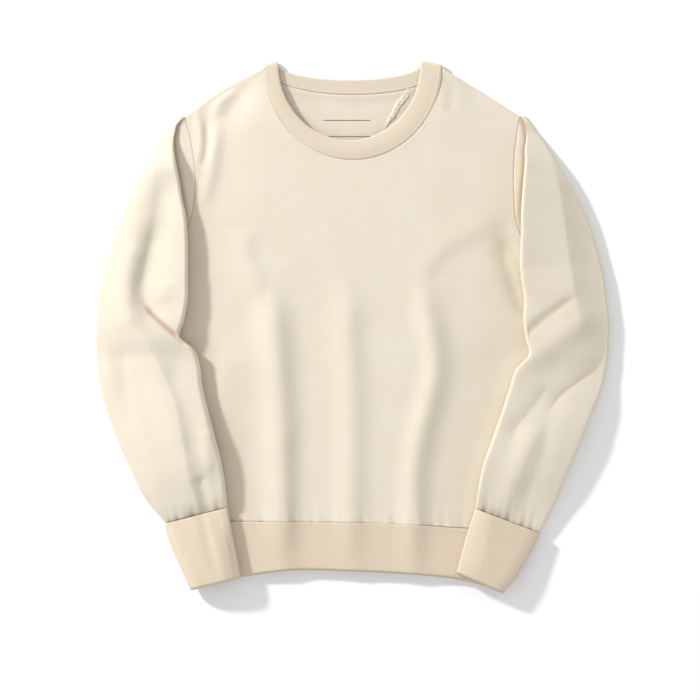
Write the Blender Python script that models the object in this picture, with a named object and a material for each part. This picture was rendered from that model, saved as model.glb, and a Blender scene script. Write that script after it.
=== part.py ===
"""Crew-neck sweatshirt, laid flat on its back with its sleeves brought down over the front.

Every piece is a wall of cloth between an outer and an inner grid of points. Sizes are in
millimetres and become metres in build_wall. +X is the wearer's left, +Y runs up to the neck, +Z is
up off the surface that the garment lies on. The origin is on that surface, below the middle.
"""
import bmesh
import bpy
import numpy as np

MM = 0.001

# Cloth
FLEECE = 2.0                # wall of the body and sleeves
BAND_RIB = 4.0              # wall of the neckband, rib folded double
HEM_RIB = 3.2               # wall of the hem band
CUFF_RIB = 3.0              # wall of the cuffs
SEAM_GAP = 0.3              # between two pieces that are sewn together
LAYER_GAP = 0.8             # between two layers that lie on each other

# Body
SHOULDER_SLOPE = 0.59       # how far the shoulder falls for each millimetre outwards
SHOULDER_BULGE = dict(right=5.0, left=1.0)      # how far each shoulder rounds up
NECK_POINT_X = 113.0        # where a shoulder seam meets the neckband
NECK_POINT_Y = 328.0
NECK_POINT_TOP = 8.4        # top of the front beside the neckband's fold
NECK_POINT_EASE = 45.0      # length over which it comes down along the shoulder seam
SEAM_TOP = 2 * FLEECE + SEAM_GAP    # top of the front where it is sewn to the back
SHOULDER_EASE = 70.0        # length over which the front rises from the shoulder seam
SIDE_POWER = 2.6            # how squarely the front rounds down to its sides
SIDE_ROUND = 0.85           # and how full it is there

# Neckband: two half ellipses, seam edge and free edge, about (x, y), as (half width, depth)
SEAM_EDGE = dict(x=1.0, y=328.0, wide=112.0, front=117.0, back=34.0)
FREE_EDGE = dict(x=-4.0, y=333.0, wide=90.0, front=97.0, back=20.0)
BAND_RISE = 15.2            # top of the neckband at the centre front
BAND_FULL = 0.8             # how squarely it comes down to its ends
BAND_LEAN = 1.0             # how much lower its free edge lies than its seam
BAND_SEAM_GAP = 0.9         # wider than other seams, as the thick wall slants there
BAND_TURN_WAY = (0.45, 0.89)    # which way it bulges where it turns under, outwards and up

# Hem band
HEM_CORNER = dict(right=-212.0, left=214.0)     # x of its ends, on the seam with the body
HEM_TOP_MID = 13.2
HEM_TOP_EDGE = 7.6
HEM_FOLD_SHARE = 0.45       # how much of the front's folds run on into it
HEM_REACH = 14.0            # how far above its seam it still lifts what lies on it

# Sleeves and cuffs
TUCK_TURN = 1.5             # radius of the hidden turn beside the armhole seam
FOLD_TURN = 4.0             # radius of the edge that lies on the front
OUTER_TURN = 7.5            # radius of the outer edge
CUFF_TURN = 2.7             # radius of a cuff's edges
CUFF_SEAM_GAP = 0.6
SLEEVE_SLOPE = 0.5          # how steeply a sleeve comes down past the body's edge
CUFF_SLOPE = 0.25           # and the stiffer cuff
SLOPE_START = 3.0           # how far past the body's edge that begins
PUFF_FULL = 0.75            # how full the upper layer's arch is
STEP_RUN = 1.0              # straight part of the step where the fold begins
FOLD_OPENS = {1: 90, 2: 135}    # degrees that the fold has turned at the first stations

# Folds
FOLD_END = 0.35             # share of a fold's height that is left at its first point
FOLD_EASE = 0.25            # share of its length over which it grows from there
FOLD_RUNS_ON = 1.2          # where it would end, as it hardly fades at its last point

# Steps round and along the pieces
NECKLINE_STEPS = 18
BACK_NECK_STEPS = 10
SHOULDER_STEPS = 6
SIDE_STEPS = 9
BAND_STEPS = 2
HEM_STEPS = 24
HEM_ROWS = 3
STRIP_STEPS = 2
UNDER_STEPS = 3
TOP_STEPS = 9
FLOOR_STEPS = 6
UNDERARM_SPREAD = 0.6       # spacing of points beside the underarm seam, at its upper end
SLEEVE_SPREAD = 4.0         # and further down
SHARP_ANGLE = 0.9


def table(columns, rows):
    """A short table with named columns, as a dict of arrays."""
    return dict(zip(columns.split(), np.array(rows, float).T))


FRONT_HEIGHTS = table("y middle", [
    (-250, 11.6),
    (-150, 14.0),
    (0, 15.5),
    (160, 15.5),
    (215, 14.6),
])
SIDE_HEIGHTS = table("y top", [
    (70, SEAM_TOP),
    (125, 8.8),
    (225, 8.4),
    (268, SEAM_TOP),
])
SIDE_SEAMS = table("y right left", [
    (-253, 209, 212),
    (-208, 238, 238),
    (-93, 258, 260),
    (0, 264, 265),
    (70, 266, 267),
])
HEM_LINES = table("x seam bottom", [
    (-212, -247, -324),
    (-142, -247, -316),
    (-80, -247.5, -308),
    (0, -248.5, -309),
    (88, -252, -314),
    (134, -255.5, -319),
    (171, -257, -328),
    (214, -256, -335),
])
HEM_HALF_WIDTH = table("y right left", [(-335, 193, 197), (-250, 208, 211)])

# Sleeve stations from the shoulder point to the cuff. outer is the sleeve's outline, fold its
# edge that lies on the front, seam the armhole, tuck how far the cloth runs back under the fold,
# puff the height of the upper layer over the line between its edges, and edge the share of the
# full radii that its two edges turn at. x is outwards on its side.
STATIONS = "outer_x outer_y fold_x fold_y seam_x tuck puff edge"
RIGHT_SLEEVE = table(STATIONS, [
    (220, 268, 216, 267, 212, 0, 0, 0.2),
    (229, 256, 223, 255, 209, 0, 0, 0.4),
    (236, 248, 225, 247, 207, 0, 1, 0.5),
    (243, 239, 227, 238, 205, 6, 3, 0.6),
    (251, 224, 227, 224, 203, 11, 5, 0.8),
    (258, 210, 225, 211, 201, 14, 8, 1.0),
    (272, 186, 220, 186, 199, 15, 11, 1.0),
    (283, 161, 216, 161, 201, 16, 14, 1.0),
    (290, 143, 212, 142, 204, 19, 15, 1.0),
    (297, 126, 210, 124, 210, 24, 16, 1.0),
    (305, 101, 209, 97, 227, 32, 17, 1.0),
    (310, 86, 209, 82, 241, 44, 17, 1.0),
    (313, 77, 209, 73, 256, 54, 17, 1.0),
    (315, 70, 209, 66, 266, 60, 17, 1.0),
    (316, 66, 209, 62, 0, 0, 17, 1.0),
    (317, 60, 209, 56, 0, 0, 17, 1.0),
    (321, 36, 209, 36, 0, 0, 18, 1.0),
    (323, 11, 214, 8, 0, 0, 16, 1.0),
    (324, -13, 219, -14, 0, 0, 13, 1.0),
    (324, -34, 201, -30, 0, 0, 14, 1.0),
    (323, -53, 194, -49, 0, 0, 17, 1.0),
    (318, -78, 191, -74, 0, 0, 18, 1.0),
    (310, -108, 184, -104, 0, 0, 18, 1.0),
    (297, -144, 175, -139, 0, 0, 17, 1.0),
    (280, -182, 166, -175, 0, 0, 15, 0.9),
    (262, -218, 161, -208, 0, 0, 11, 0.8),
    (236, -249, 159, -229, 0, 0, 8.5, 0.6),
])
LEFT_SLEEVE = table(STATIONS, [
    (220, 268, 216, 267, 213, 0, 0, 0.2),
    (226, 256, 219, 255, 210, 0, 0, 0.4),
    (232, 247, 220, 247, 209, 0, 1, 0.5),
    (239, 238, 221, 238, 208, 6, 3, 0.6),
    (248, 224, 219, 224, 206, 11, 5, 0.8),
    (256, 210, 219, 211, 205, 14, 8, 1.0),
    (270, 186, 217, 186, 204, 15, 11, 1.0),
    (284, 161, 215, 161, 205, 16, 14, 1.0),
    (293, 144, 214, 142, 206, 19, 15, 1.0),
    (300, 127, 214, 124, 210, 24, 16, 1.0),
    (308, 101, 213, 97, 227, 32, 17, 1.0),
    (312, 86, 213, 82, 241, 40, 17, 1.0),
    (314, 77, 213, 73, 256, 50, 17, 1.0),
    (316, 70, 214, 66, 267, 56, 17, 1.0),
    (317, 66, 214, 62, 0, 0, 17, 1.0),
    (318, 60, 215, 56, 0, 0, 17, 1.0),
    (321, 36, 218, 36, 0, 0, 18, 1.0),
    (324, 8, 217, 8, 0, 0, 17, 1.0),
    (324, -15, 220, -16, 0, 0, 15, 1.0),
    (323, -38, 224, -36, 0, 0, 12, 1.0),
    (320, -55, 208, -54, 0, 0, 14, 1.0),
    (315, -76, 201, -74, 0, 0, 16, 1.0),
    (303, -107, 191, -105, 0, 0, 17, 1.0),
    (289, -144, 178, -142, 0, 0, 17, 1.0),
    (273, -182, 166, -177, 0, 0, 15, 0.9),
    (257, -220, 160, -208, 0, 0, 11, 0.8),
    (236, -261, 157, -231, 0, 0, 8.5, 0.6),
])
CUFF_STATIONS = "outer_x outer_y fold_x fold_y puff"
RIGHT_CUFF = table(CUFF_STATIONS, [
    (236, -249, 159, -229, 6.5),
    (234, -262, 156, -247, 7.0),
    (228, -278, 152, -269, 7.5),
    (217, -303, 147, -293, 8.0),
    (204, -332, 143, -317, 8.0),
])
LEFT_CUFF = table(CUFF_STATIONS, [
    (236, -261, 157, -231, 6.5),
    (229, -276, 151, -248, 7.0),
    (219, -295, 145, -267, 7.5),
    (206, -316, 139, -289, 8.0),
    (191, -336, 133, -311, 8.0),
])

# Folds: a soft ridge (height above 0) or trough (below 0) along a line of points, as wide as it
# says to each side, fading out over its ends.
FRONT_FOLDS = [
    dict(height=2.6, wide=17, along=[(-112, 40), (-107, -40), (-101, -130), (-98, -249)]),
    dict(height=-2.4, wide=14, along=[(-84, 20), (-80, -60), (-78, -140), (-78, -249)]),
    dict(height=2.4, wide=16, along=[(-14, 48), (-12, -43), (-10, -131), (-9, -249)]),
    dict(height=-2.2, wide=14, along=[(12, 40), (12, -43), (13, -131), (13, -249)]),
    dict(height=2.6, wide=16, along=[(84, 60), (91, -17), (86, -90), (72, -170), (68, -250)]),
    dict(height=-3.0, wide=14, along=[(106, 30), (110, -27), (98, -107), (92, -180), (92, -252)]),
    dict(height=-2.4, wide=14, along=[(196, 121), (149, 112), (111, 92), (94, 59)]),
    dict(height=2.0, wide=14, along=[(190, 90), (150, 78), (128, 52)]),
    dict(height=-2.4, wide=12, along=[(-166, 282), (-166, 237), (-171, 190), (-182, 150)]),
    dict(height=2.0, wide=11, along=[(-146, 270), (-145, 225), (-150, 185)]),
    dict(height=-2.0, wide=22, along=[(-128, 100), (-112, 75), (-96, 45)]),
]
RIGHT_SLEEVE_FOLDS = [
    dict(height=4.5, wide=17, along=[(-246, 205), (-251, 161), (-261, 110), (-276, 60)]),
    dict(height=-4.0, wide=13, along=[(-277, 58), (-266, 24), (-240, 2), (-214, -18)]),
    dict(height=3.0, wide=12, along=[(-290, 12), (-262, -14), (-238, -26), (-212, -36)]),
    dict(height=4.0, wide=16, along=[(-257, -40), (-238, -85), (-222, -140), (-202, -212)]),
    dict(height=-2.5, wide=12, along=[(-232, -68), (-212, -128), (-190, -205)]),
    dict(height=-2.0, wide=14, along=[(-300, -45), (-280, -52), (-262, -60)]),
]
LEFT_SLEEVE_FOLDS = [
    dict(height=4.0, wide=16, along=[(249, 200), (260, 160), (268, 110), (282, 60), (286, 25)]),
    dict(height=-3.5, wide=13, along=[(229, -4), (251, 12), (270, 30), (283, 52)]),
    dict(height=3.5, wide=12, along=[(232, -24), (252, -16), (276, -4), (300, 4)]),
    dict(height=-3.5, wide=12, along=[(308, -60), (280, -76), (250, -96), (214, -124)]),
    dict(height=3.5, wide=12, along=[(228, -134), (218, -160), (206, -190), (196, -222)]),
    dict(height=-2.5, wide=11, along=[(208, -118), (192, -150), (182, -190)]),
]


def smooth(t):
    t = np.clip(t, 0.0, 1.0)
    return t * t * (3 - 2 * t)


def distance_to_line(x, y, line):
    """Distance to a line of points, and how far along it the nearest place is, from 0 to 1."""
    line = np.array(line, float)
    lengths = np.linalg.norm(np.diff(line, axis=0), axis=1)
    nearest = np.full(np.shape(x), np.inf)
    place = np.zeros(np.shape(x))
    start = 0.0
    for (ax, ay), (bx, by), length in zip(line[:-1], line[1:], lengths):
        share = np.clip(((x - ax) * (bx - ax) + (y - ay) * (by - ay)) / length**2, 0, 1)
        gap = np.hypot(x - ax - share * (bx - ax), y - ay - share * (by - ay))
        place = np.where(gap < nearest, (start + share * length) / lengths.sum(), place)
        nearest = np.minimum(gap, nearest)
        start += length
    return nearest, place


def relief(x, y, folds):
    """Sum of the folds' heights, each a bell across its line that eases in at the ends."""
    total = np.zeros(np.shape(x))
    for fold in folds:
        gap, place = distance_to_line(x, y, fold["along"])
        inside = smooth(np.minimum(place, FOLD_RUNS_ON - place) / FOLD_EASE)
        ends = FOLD_END + (1 - FOLD_END) * inside
        total += fold["height"] * ends * np.exp(-((gap / fold["wide"]) ** 2))
    return total


def armhole(side):
    """Points of the armhole seam, from the shoulder point to the underarm."""
    rows = SLEEVES[side]["stations"]
    sewn = rows["seam_x"] > 0
    share = (rows["seam_x"] - rows["fold_x"]) / (rows["outer_x"] - rows["fold_x"])
    y = rows["fold_y"] + share * (rows["outer_y"] - rows["fold_y"])
    return np.stack([SLEEVES[side]["sign"] * rows["seam_x"][sewn], y[sewn]], axis=1)


def side_line(side):
    """Points of the side seam, from the underarm to the hem."""
    sign = SLEEVES[side]["sign"]
    seam_y = np.interp(HEM_CORNER[side], HEM_LINES["x"], HEM_LINES["seam"])
    y = np.linspace(armhole(side)[-1, 1], seam_y, SIDE_STEPS + 1)
    return np.stack([sign * np.interp(y, SIDE_SEAMS["y"], SIDE_SEAMS[side]), y], axis=1)


def edge_x(y, side):
    """Distance from the middle to the front's edge: its armhole, then its side seam."""
    points = np.concatenate([armhole(side), side_line(side)[1:]])[::-1]
    return np.interp(y, points[:, 1], np.abs(points[:, 0]))


def front_top(x, y):
    """Height of the front's upper face. It rounds down to the sides and the shoulders."""
    edge = np.where(x > 0, edge_x(y, "left"), edge_x(y, "right"))
    across = np.clip(np.abs(x) / edge, 0, 1)
    middle = np.interp(y, FRONT_HEIGHTS["y"], FRONT_HEIGHTS["middle"])
    side = np.interp(y, SIDE_HEIGHTS["y"], SIDE_HEIGHTS["top"])
    body = side + (middle - side) * (1 - across**SIDE_POWER) ** SIDE_ROUND
    outwards = np.maximum(np.abs(x) - NECK_POINT_X, 0)
    below = NECK_POINT_Y - outwards * SHOULDER_SLOPE - y
    risen = smooth(below / SHOULDER_EASE)
    shoulder = SEAM_TOP + (NECK_POINT_TOP - SEAM_TOP) * smooth(1 - outwards / NECK_POINT_EASE)
    folds = relief(x, y, FRONT_FOLDS) * (1 - across**5) * risen
    return shoulder + (body - shoulder) * risen + folds


def hem_top(x, y):
    """Height of the hem band's upper face."""
    right, left = (np.interp(y, HEM_HALF_WIDTH["y"], HEM_HALF_WIDTH[s]) for s in ("right", "left"))
    across = np.clip(np.abs(x) / np.where(x > 0, left, right), 0, 1)
    rise = (HEM_TOP_MID - HEM_TOP_EDGE) * (1 - across**SIDE_POWER) ** SIDE_ROUND
    seam_y = np.interp(x, HEM_LINES["x"], HEM_LINES["seam"])
    folds = relief(x, np.maximum(y, seam_y), FRONT_FOLDS) * (1 - across**5)
    return HEM_TOP_EDGE + rise + HEM_FOLD_SHARE * folds


def lying_height(x, y, side, slope):
    """Height of the underside of a sleeve's or cuff's lower layer: a gap over the body, and past
    the body's edge down at a slope as far as the surface below."""
    sign = SLEEVES[side]["sign"]
    hem_y = np.interp(HEM_CORNER[side], HEM_LINES["x"], HEM_LINES["seam"])
    edge = edge_x(np.maximum(y, hem_y), side)
    over = front_top(sign * np.minimum(np.abs(x), edge), np.maximum(y, hem_y))
    hem_edge = np.interp(y, HEM_HALF_WIDTH["y"], HEM_HALF_WIDTH[side])
    near_hem = y < hem_y + HEM_REACH
    hem = hem_top(sign * np.minimum(np.abs(x), hem_edge), np.minimum(y, hem_y))
    over = np.where(near_hem, np.maximum(over, hem), over)
    edge = np.where(near_hem, np.maximum(hem_edge, np.where(y < hem_y, 0, edge)), edge)
    past = np.maximum(np.abs(x) - edge - SLOPE_START, 0)
    return np.maximum(over + LAYER_GAP - slope * past, 0)


def turn_points(centre, radius, degrees):
    """Points of a turn in a section, about centre, each as (outwards, up)."""
    angle = np.radians(degrees)
    return np.array(centre) + radius * np.stack([np.cos(angle), np.sin(angle)], axis=1)


def layer_points(start, end, steps, height):
    """Points of a layer of a section from start up to, not at, end, at the heights given."""
    a = np.linspace(start, end, steps + 1)[:-1]
    return np.stack([a, height(a)], axis=1)


def upper_layer(start, end, puff, at, folds):
    """The arched upper layer between its two edges, with the folds that cross it."""
    share = np.linspace(0, 1, TOP_STEPS + 2)[1:-1]
    a = start[0] + share * (end[0] - start[0])
    relieved = relief(*at(a), folds) * smooth(np.minimum(share, 1 - share) / 0.2)
    z = start[1] + share * (end[1] - start[1]) + puff * np.sin(np.pi * share) ** PUFF_FULL
    return np.stack([a, z + relieved], axis=1)


def step_points(seam, seam_z, fold_turn, angle):
    """The cloth from the armhole seam up to the sleeve's upper layer where its fold has only
    begun: out under it, a turn up through the angle, a short run, and a turn back outwards."""
    lean = np.radians(angle)
    out = fold_turn * (1 - np.sin(lean)) - TUCK_TURN * np.sin(lean) - STEP_RUN * np.cos(lean)
    strip = layer_points(seam, out, STRIP_STEPS, lambda a: np.full(len(a), seam_z))
    turn = lean * np.array([0, 0.5, 1])
    up = np.stack([out + TUCK_TURN * np.sin(turn), seam_z + TUCK_TURN * (1 - np.cos(turn))], axis=1)
    heading = np.array([np.cos(lean), np.sin(lean)])
    rising = up[-1] + STEP_RUN * heading * np.array([[1 / 3], [2 / 3]])
    turn = lean * np.linspace(1, 0, 5)
    back = np.stack([np.sin(lean) - np.sin(turn), np.cos(turn) - np.cos(lean)], axis=1)
    over = up[-1] + STEP_RUN * heading + fold_turn * back
    return np.concatenate([strip, up, rising, over])


def folded_points(seam, seam_z, tuck, fold_turn, lying):
    """The cloth from the armhole seam out under the upper layer, round a turn and back in."""
    back = tuck - TUCK_TURN
    return np.concatenate([
        layer_points(seam, back, STRIP_STEPS, lambda a: np.full(len(a), seam_z)),
        [[back, seam_z], [tuck, (seam_z + float(lying(np.array(back)))) / 2]],
        layer_points(back, fold_turn, UNDER_STEPS, lying),
    ])


def closed_points(seam, fold_turn, lying, row):
    """The cloth from the underarm seam in to the fold edge. At the seam's upper end it still
    stands up in a quarter turn."""
    spread = row["spread"] * (STRIP_STEPS + 2)
    beside = layer_points(seam, seam - spread, STRIP_STEPS + 2, lying)
    if row["stands"]:
        turn = np.radians(np.linspace(0, 90, STRIP_STEPS + 3)[:-1])
        beside[:, 0] = seam + FLEECE / 2 - TUCK_TURN * (1 - np.cos(turn))
        beside[:, 1] -= TUCK_TURN * (1 - np.sin(turn))
    return np.concatenate([beside, layer_points(seam - spread, fold_turn, UNDER_STEPS, lying)])


def sleeve_section(side, row):
    """The middle of a sleeve's wall at one station, as (outwards from the fold edge, up): from
    the front armhole seam under the fold and back, over the top, round the outer edge, and along
    the floor to the back armhole seam. Below the underarm both ends lie at its seam."""
    sleeve = SLEEVES[side]
    fold = np.array([sleeve["sign"] * row["fold_x"], row["fold_y"]])
    outer = np.array([sleeve["sign"] * row["outer_x"], row["outer_y"]])
    width = np.linalg.norm(outer - fold)
    outwards = (outer - fold) / width
    half = FLEECE / 2
    sewn = row["seam_x"] > 0
    fold_turn = FOLD_TURN * row["edge"]
    outer_turn = OUTER_TURN * row["edge"]

    def at(a):
        return fold[0] + a * outwards[0], fold[1] + a * outwards[1]

    def lying(a):
        return lying_height(*at(a), side, 0.0 if sewn else SLEEVE_SLOPE) + half

    def resting(a):
        return half + (0 * a if row["on_floor"] else lying_height(*at(a), side, SLEEVE_SLOPE))

    reach = width / abs(outer[0] - fold[0])
    seam_x = row["seam_x"] if sewn else edge_x(at(width / 2)[1], side)
    seam = (seam_x - row["fold_x"]) * reach + SEAM_GAP
    seam_z = float(front_top(*armhole(side)[row["index"]])) - half if sewn else 0.0
    low = float(lying(np.array(fold_turn)))
    inner_edge = turn_points((fold_turn, low + fold_turn), fold_turn, [270, 225, 180, 135, 90])
    if not sewn:
        under = np.concatenate([closed_points(seam, fold_turn, lying, row), inner_edge])
    elif row["angle"] < 180:
        under = step_points(seam, seam_z, fold_turn, row["angle"])
    else:
        folded = folded_points(seam, seam_z, row["tuck"], fold_turn, lying)
        under = np.concatenate([folded, inner_edge])
    outer_centre = (width - outer_turn, half + outer_turn)
    outer_edge = turn_points(outer_centre, outer_turn, [90, 45, 0, -45, -90])
    top = upper_layer(under[-1], outer_edge[0], row["puff"], at, sleeve["folds"])
    end = seam if sewn else seam + SEAM_GAP
    below = layer_points(outer_centre[0], end, FLOOR_STEPS, resting)[1:]
    last = [[end, float(resting(np.array(end)))]]
    return np.concatenate([under, top, outer_edge, below, last]), fold, outwards


def shoulder_section(side, row):
    """The sleeve's first section, close round the end of the shoulder seam."""
    base = armhole(side)[row["index"]]
    outwards = np.array([SLEEVES[side]["sign"], 0.0])
    half = FLEECE / 2
    start_z = float(front_top(*base)) - half
    turn = (start_z - half) / 2
    end = row["outer_x"] - row["seam_x"] - half - turn
    steps = STRIP_STEPS + 2 + UNDER_STEPS + 5 + TOP_STEPS
    top = layer_points(SEAM_GAP, end, steps, lambda a: np.full(len(a), start_z))
    edge = turn_points((end, half + turn), turn, [90, 45, 0, -45, -90])
    below = layer_points(end, SEAM_GAP, FLOOR_STEPS, lambda a: np.full(len(a), half))[1:]
    return np.concatenate([top, edge, below, [[SEAM_GAP, half]]]), base, outwards


def cuff_section(side, row):
    """The middle of a cuff's wall at one station: a flattened ring, from its inner edge over the
    top, round the outer edge and back below, where it lies on the hem band."""
    sign = SLEEVES[side]["sign"]
    fold = np.array([sign * row["fold_x"], row["fold_y"]])
    outer = np.array([sign * row["outer_x"], row["outer_y"]])
    width = np.linalg.norm(outer - fold)
    outwards = (outer - fold) / width
    half = CUFF_RIB / 2

    def at(a):
        return fold[0] + a * outwards[0], fold[1] + a * outwards[1]

    def lying(a):
        return lying_height(*at(a), side, CUFF_SLOPE) + half

    inner_low = float(lying(np.array(CUFF_TURN)))
    outer_low = float(lying(np.array(width - CUFF_TURN)))
    inner_edge = turn_points((CUFF_TURN, inner_low + CUFF_TURN), CUFF_TURN, [225, 180, 135, 90])
    outer_edge = turn_points(
        (width - CUFF_TURN, outer_low + CUFF_TURN), CUFF_TURN, [90, 45, 0, -45]
    )
    top = upper_layer(inner_edge[-1], outer_edge[0], row["puff"], at, [])
    below = layer_points(width - CUFF_TURN, CUFF_TURN, FLOOR_STEPS + 2, lying)
    last = [[CUFF_TURN, inner_low]]
    return np.concatenate([inner_edge, top, outer_edge, below, last]), fold, outwards


def section_sides(points, fold, outwards, wall, ring):
    """The outer and inner faces of a section, half a wall to each side of its middle."""
    if ring:
        ahead, behind = np.roll(points, -1, axis=0), np.roll(points, 1, axis=0)
    else:
        ahead = np.concatenate([points[1:], points[-1:]])
        behind = np.concatenate([points[:1], points[:-1]])
    tangent = ahead - behind
    tangent /= np.linalg.norm(tangent, axis=1)[:, None]
    normal = np.stack([-tangent[:, 1], tangent[:, 0]], axis=1)
    faces = []
    for offset in (wall / 2, -wall / 2):
        a, z = (points + offset * normal).T
        flat = fold + a[:, None] * outwards
        faces.append(np.concatenate([flat, np.maximum(z, 0)[:, None]], axis=1))
    return faces


def station(rows, index):
    row = {name: values[index] for name, values in rows.items()}
    row["index"] = index
    first_closed = np.count_nonzero(rows.get("seam_x", 0))
    row["angle"] = FOLD_OPENS.get(index, 180)
    row["stands"] = row["on_floor"] = index <= first_closed
    row["spread"] = UNDERARM_SPREAD if index <= first_closed + 1 else SLEEVE_SPREAD
    return row


def shoulder_line(start, end, bulge):
    """Points of a shoulder seam, which rounds up a little between its ends."""
    share = np.linspace(0, 1, SHOULDER_STEPS + 1)[:, None]
    line = start + share * (end - start)
    line[:, 1] += bulge * np.sin(np.pi * share[:, 0])
    return line


def neck_curve(edge, degrees, half):
    """Points of the neckband's seam edge or free edge, on its front or its back half."""
    angle = np.radians(degrees)
    depth = edge[half]
    return np.stack([
        edge["x"] - edge["wide"] * np.cos(angle), edge["y"] - depth * np.sin(angle)
    ], axis=1)


def patch(top, bottom, right, left):
    """Points of a panel between its four edges. Columns run straight from the top edge to the
    bottom one, and those over the shoulders lean out with the armholes and the side seams."""
    def shares(edge):
        lengths = np.linalg.norm(np.diff(edge, axis=0), axis=1)
        return np.concatenate([[0], np.cumsum(lengths)]) / lengths.sum()

    v = ((shares(right) + shares(left)) / 2)[:, None, None]
    grid = (1 - v) * top[None] + v * bottom[None]
    for edge, column in ((right, 0), (left, -1)):
        lean = edge[:, None] - grid[:, column, None]
        outwards = top[:, 0] * np.sign(top[column, 0]) - NECK_POINT_X
        weight = np.clip(outwards / outwards[column], 0, 1)
        grid = grid + weight[None, :, None] * lean
    return grid


def panel_outline(neck_half, neck_steps):
    """The edges of the front or the back, from the wearer's right to the left."""
    neck = neck_curve(SEAM_EDGE, np.linspace(0, 180, neck_steps + 1), neck_half)
    holes = {side: armhole(side) for side in SLEEVES}
    shoulders = {
        "right": shoulder_line(holes["right"][0], neck[0], SHOULDER_BULGE["right"]),
        "left": shoulder_line(neck[-1], holes["left"][0], SHOULDER_BULGE["left"]),
    }
    top = np.concatenate([shoulders["right"][:-1], neck, shoulders["left"][1:]])
    sides = {
        side: np.concatenate([holes[side], side_line(side)[1:]]) for side in SLEEVES
    }
    x = np.interp(
        top[:, 0], top[[0, -1], 0], [sides["right"][-1, 0], sides["left"][-1, 0]]
    )
    bottom = np.stack([x, np.interp(x, HEM_LINES["x"], HEM_LINES["seam"])], axis=1)
    return top, bottom, sides["right"], sides["left"]


def build_wall(name, outer, inner, material, ring=False):
    """An object from the outer and inner grids of a wall, closed round its rims. A ring's first
    and last columns join."""
    rows, columns = outer.shape[:2]
    index = np.arange(rows * columns).reshape(rows, columns)
    if ring:
        index = np.concatenate([index, index[:, :1]], axis=1)
    inside = index + rows * columns

    def quads(grid):
        corners = (grid[:-1, :-1], grid[:-1, 1:], grid[1:, 1:], grid[1:, :-1])
        return np.stack(corners, axis=-1).reshape(-1, 4)

    faces = [quads(index), quads(inside)[:, ::-1]]
    rims = [(0, slice(None)), (-1, slice(None))]
    if not ring:
        rims += [(slice(None), 0), (slice(None), -1)]
    for rim in rims:
        faces.append(quads(np.stack([index[rim], inside[rim]])))
    points = np.concatenate([outer.reshape(-1, 3), inner.reshape(-1, 3)]) * MM
    mesh = bpy.data.meshes.new(name)
    mesh.from_pydata(points.tolist(), [], np.concatenate(faces).tolist())
    shell = bmesh.new()
    shell.from_mesh(mesh)
    bmesh.ops.recalc_face_normals(shell, faces=shell.faces)
    shell.to_mesh(mesh)
    shell.free()
    mesh.materials.append(material)
    mesh.shade_smooth()
    mesh.set_sharp_from_angle(angle=SHARP_ANGLE)
    piece = bpy.data.objects.new(name, mesh)
    bpy.context.scene.collection.objects.link(piece)
    return piece


def with_height(flat, height):
    return np.concatenate([flat, np.broadcast_to(height, flat.shape[:-1])[..., None]], axis=-1)


def make_front(material):
    flat = patch(*panel_outline("front", NECKLINE_STEPS))
    top = front_top(flat[..., 0], flat[..., 1])
    build_wall("front_panel", with_height(flat, top), with_height(flat, top - FLEECE), material)


def make_back(material):
    flat = patch(*panel_outline("back", BACK_NECK_STEPS))
    build_wall("back_panel", with_height(flat, FLEECE), with_height(flat, 0.0), material)


def make_sleeve(side, material):
    rows = SLEEVES[side]["stations"]
    sections = []
    for index in range(len(rows["puff"])):
        row = station(rows, index)
        section = sleeve_section if index else shoulder_section
        sections.append(section(side, row))
    sides = [section_sides(*section, FLEECE, False) for section in sections]
    outer, inner = (np.array(faces) for faces in zip(*sides))
    build_wall("sleeve_" + side, outer, inner, material)


def make_cuff(side, material):
    rows = SLEEVES[side]["cuff"]
    sections = [cuff_section(side, station(rows, i)) for i in range(len(rows["puff"]))]
    sides = [section_sides(*section, CUFF_RIB, True) for section in sections]
    outer, inner = (np.array(faces) for faces in zip(*sides))
    gap = np.array([0, -CUFF_SEAM_GAP, 0])
    build_wall("cuff_" + side, outer + gap, inner + gap, material, ring=True)


def neckband_middle():
    """Middle of the neckband's wall, as rows from its seam edge to its free edge. It runs along
    the front, turns under at the left, comes back along the back and turns up at the right."""
    front_angles = np.linspace(0, 180, NECKLINE_STEPS + 1)
    back_angles = np.linspace(180, 0, BACK_NECK_STEPS + 1)
    rows = []
    for share in np.linspace(0, 1, BAND_STEPS + 1):
        front, back = (
            (1 - share) * neck_curve(SEAM_EDGE, angles, half)
            + share * neck_curve(FREE_EDGE, angles, half)
            for angles, half in ((front_angles, "front"), (back_angles, "back"))
        )
        rise = np.sin(np.radians(front_angles)) ** BAND_FULL
        low = NECK_POINT_TOP - FLEECE / 2
        front_z = low + (BAND_RISE - BAND_RIB / 2 - low) * rise - share * BAND_LEAN * rise
        front = with_height(front, front_z)
        back = with_height(back, BAND_RIB / 2)
        middle_z = (low + BAND_RIB / 2) / 2
        radius = (low - BAND_RIB / 2) / 2
        turns = []
        for corner, sign, degrees in ((front[-1], 1, (45, 0, -45)), (front[0], -1, (-45, 0, 45))):
            out = np.array([sign, 1]) * BAND_TURN_WAY
            turns.append([
                np.append(corner[:2] + out * radius * np.cos(np.radians(d)),
                          middle_z + radius * np.sin(np.radians(d)))
                for d in degrees
            ])
        rows.append(np.concatenate([front, turns[0], back, turns[1]]))
    return np.array(rows)


def make_neckband(material):
    middle = neckband_middle()
    around = np.roll(middle, -1, axis=1) - np.roll(middle, 1, axis=1)
    up = np.gradient(middle, axis=0)
    normal = np.cross(around, up)
    normal /= np.linalg.norm(normal, axis=2)[..., None]
    middle = trimmed(middle, BAND_SEAM_GAP)
    outer = middle + normal * BAND_RIB / 2
    inner = middle - normal * BAND_RIB / 2
    for grid in (outer, inner):
        grid[..., 2] = np.maximum(grid[..., 2], 0)
    build_wall("neckband", outer, inner, material, ring=True)


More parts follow.
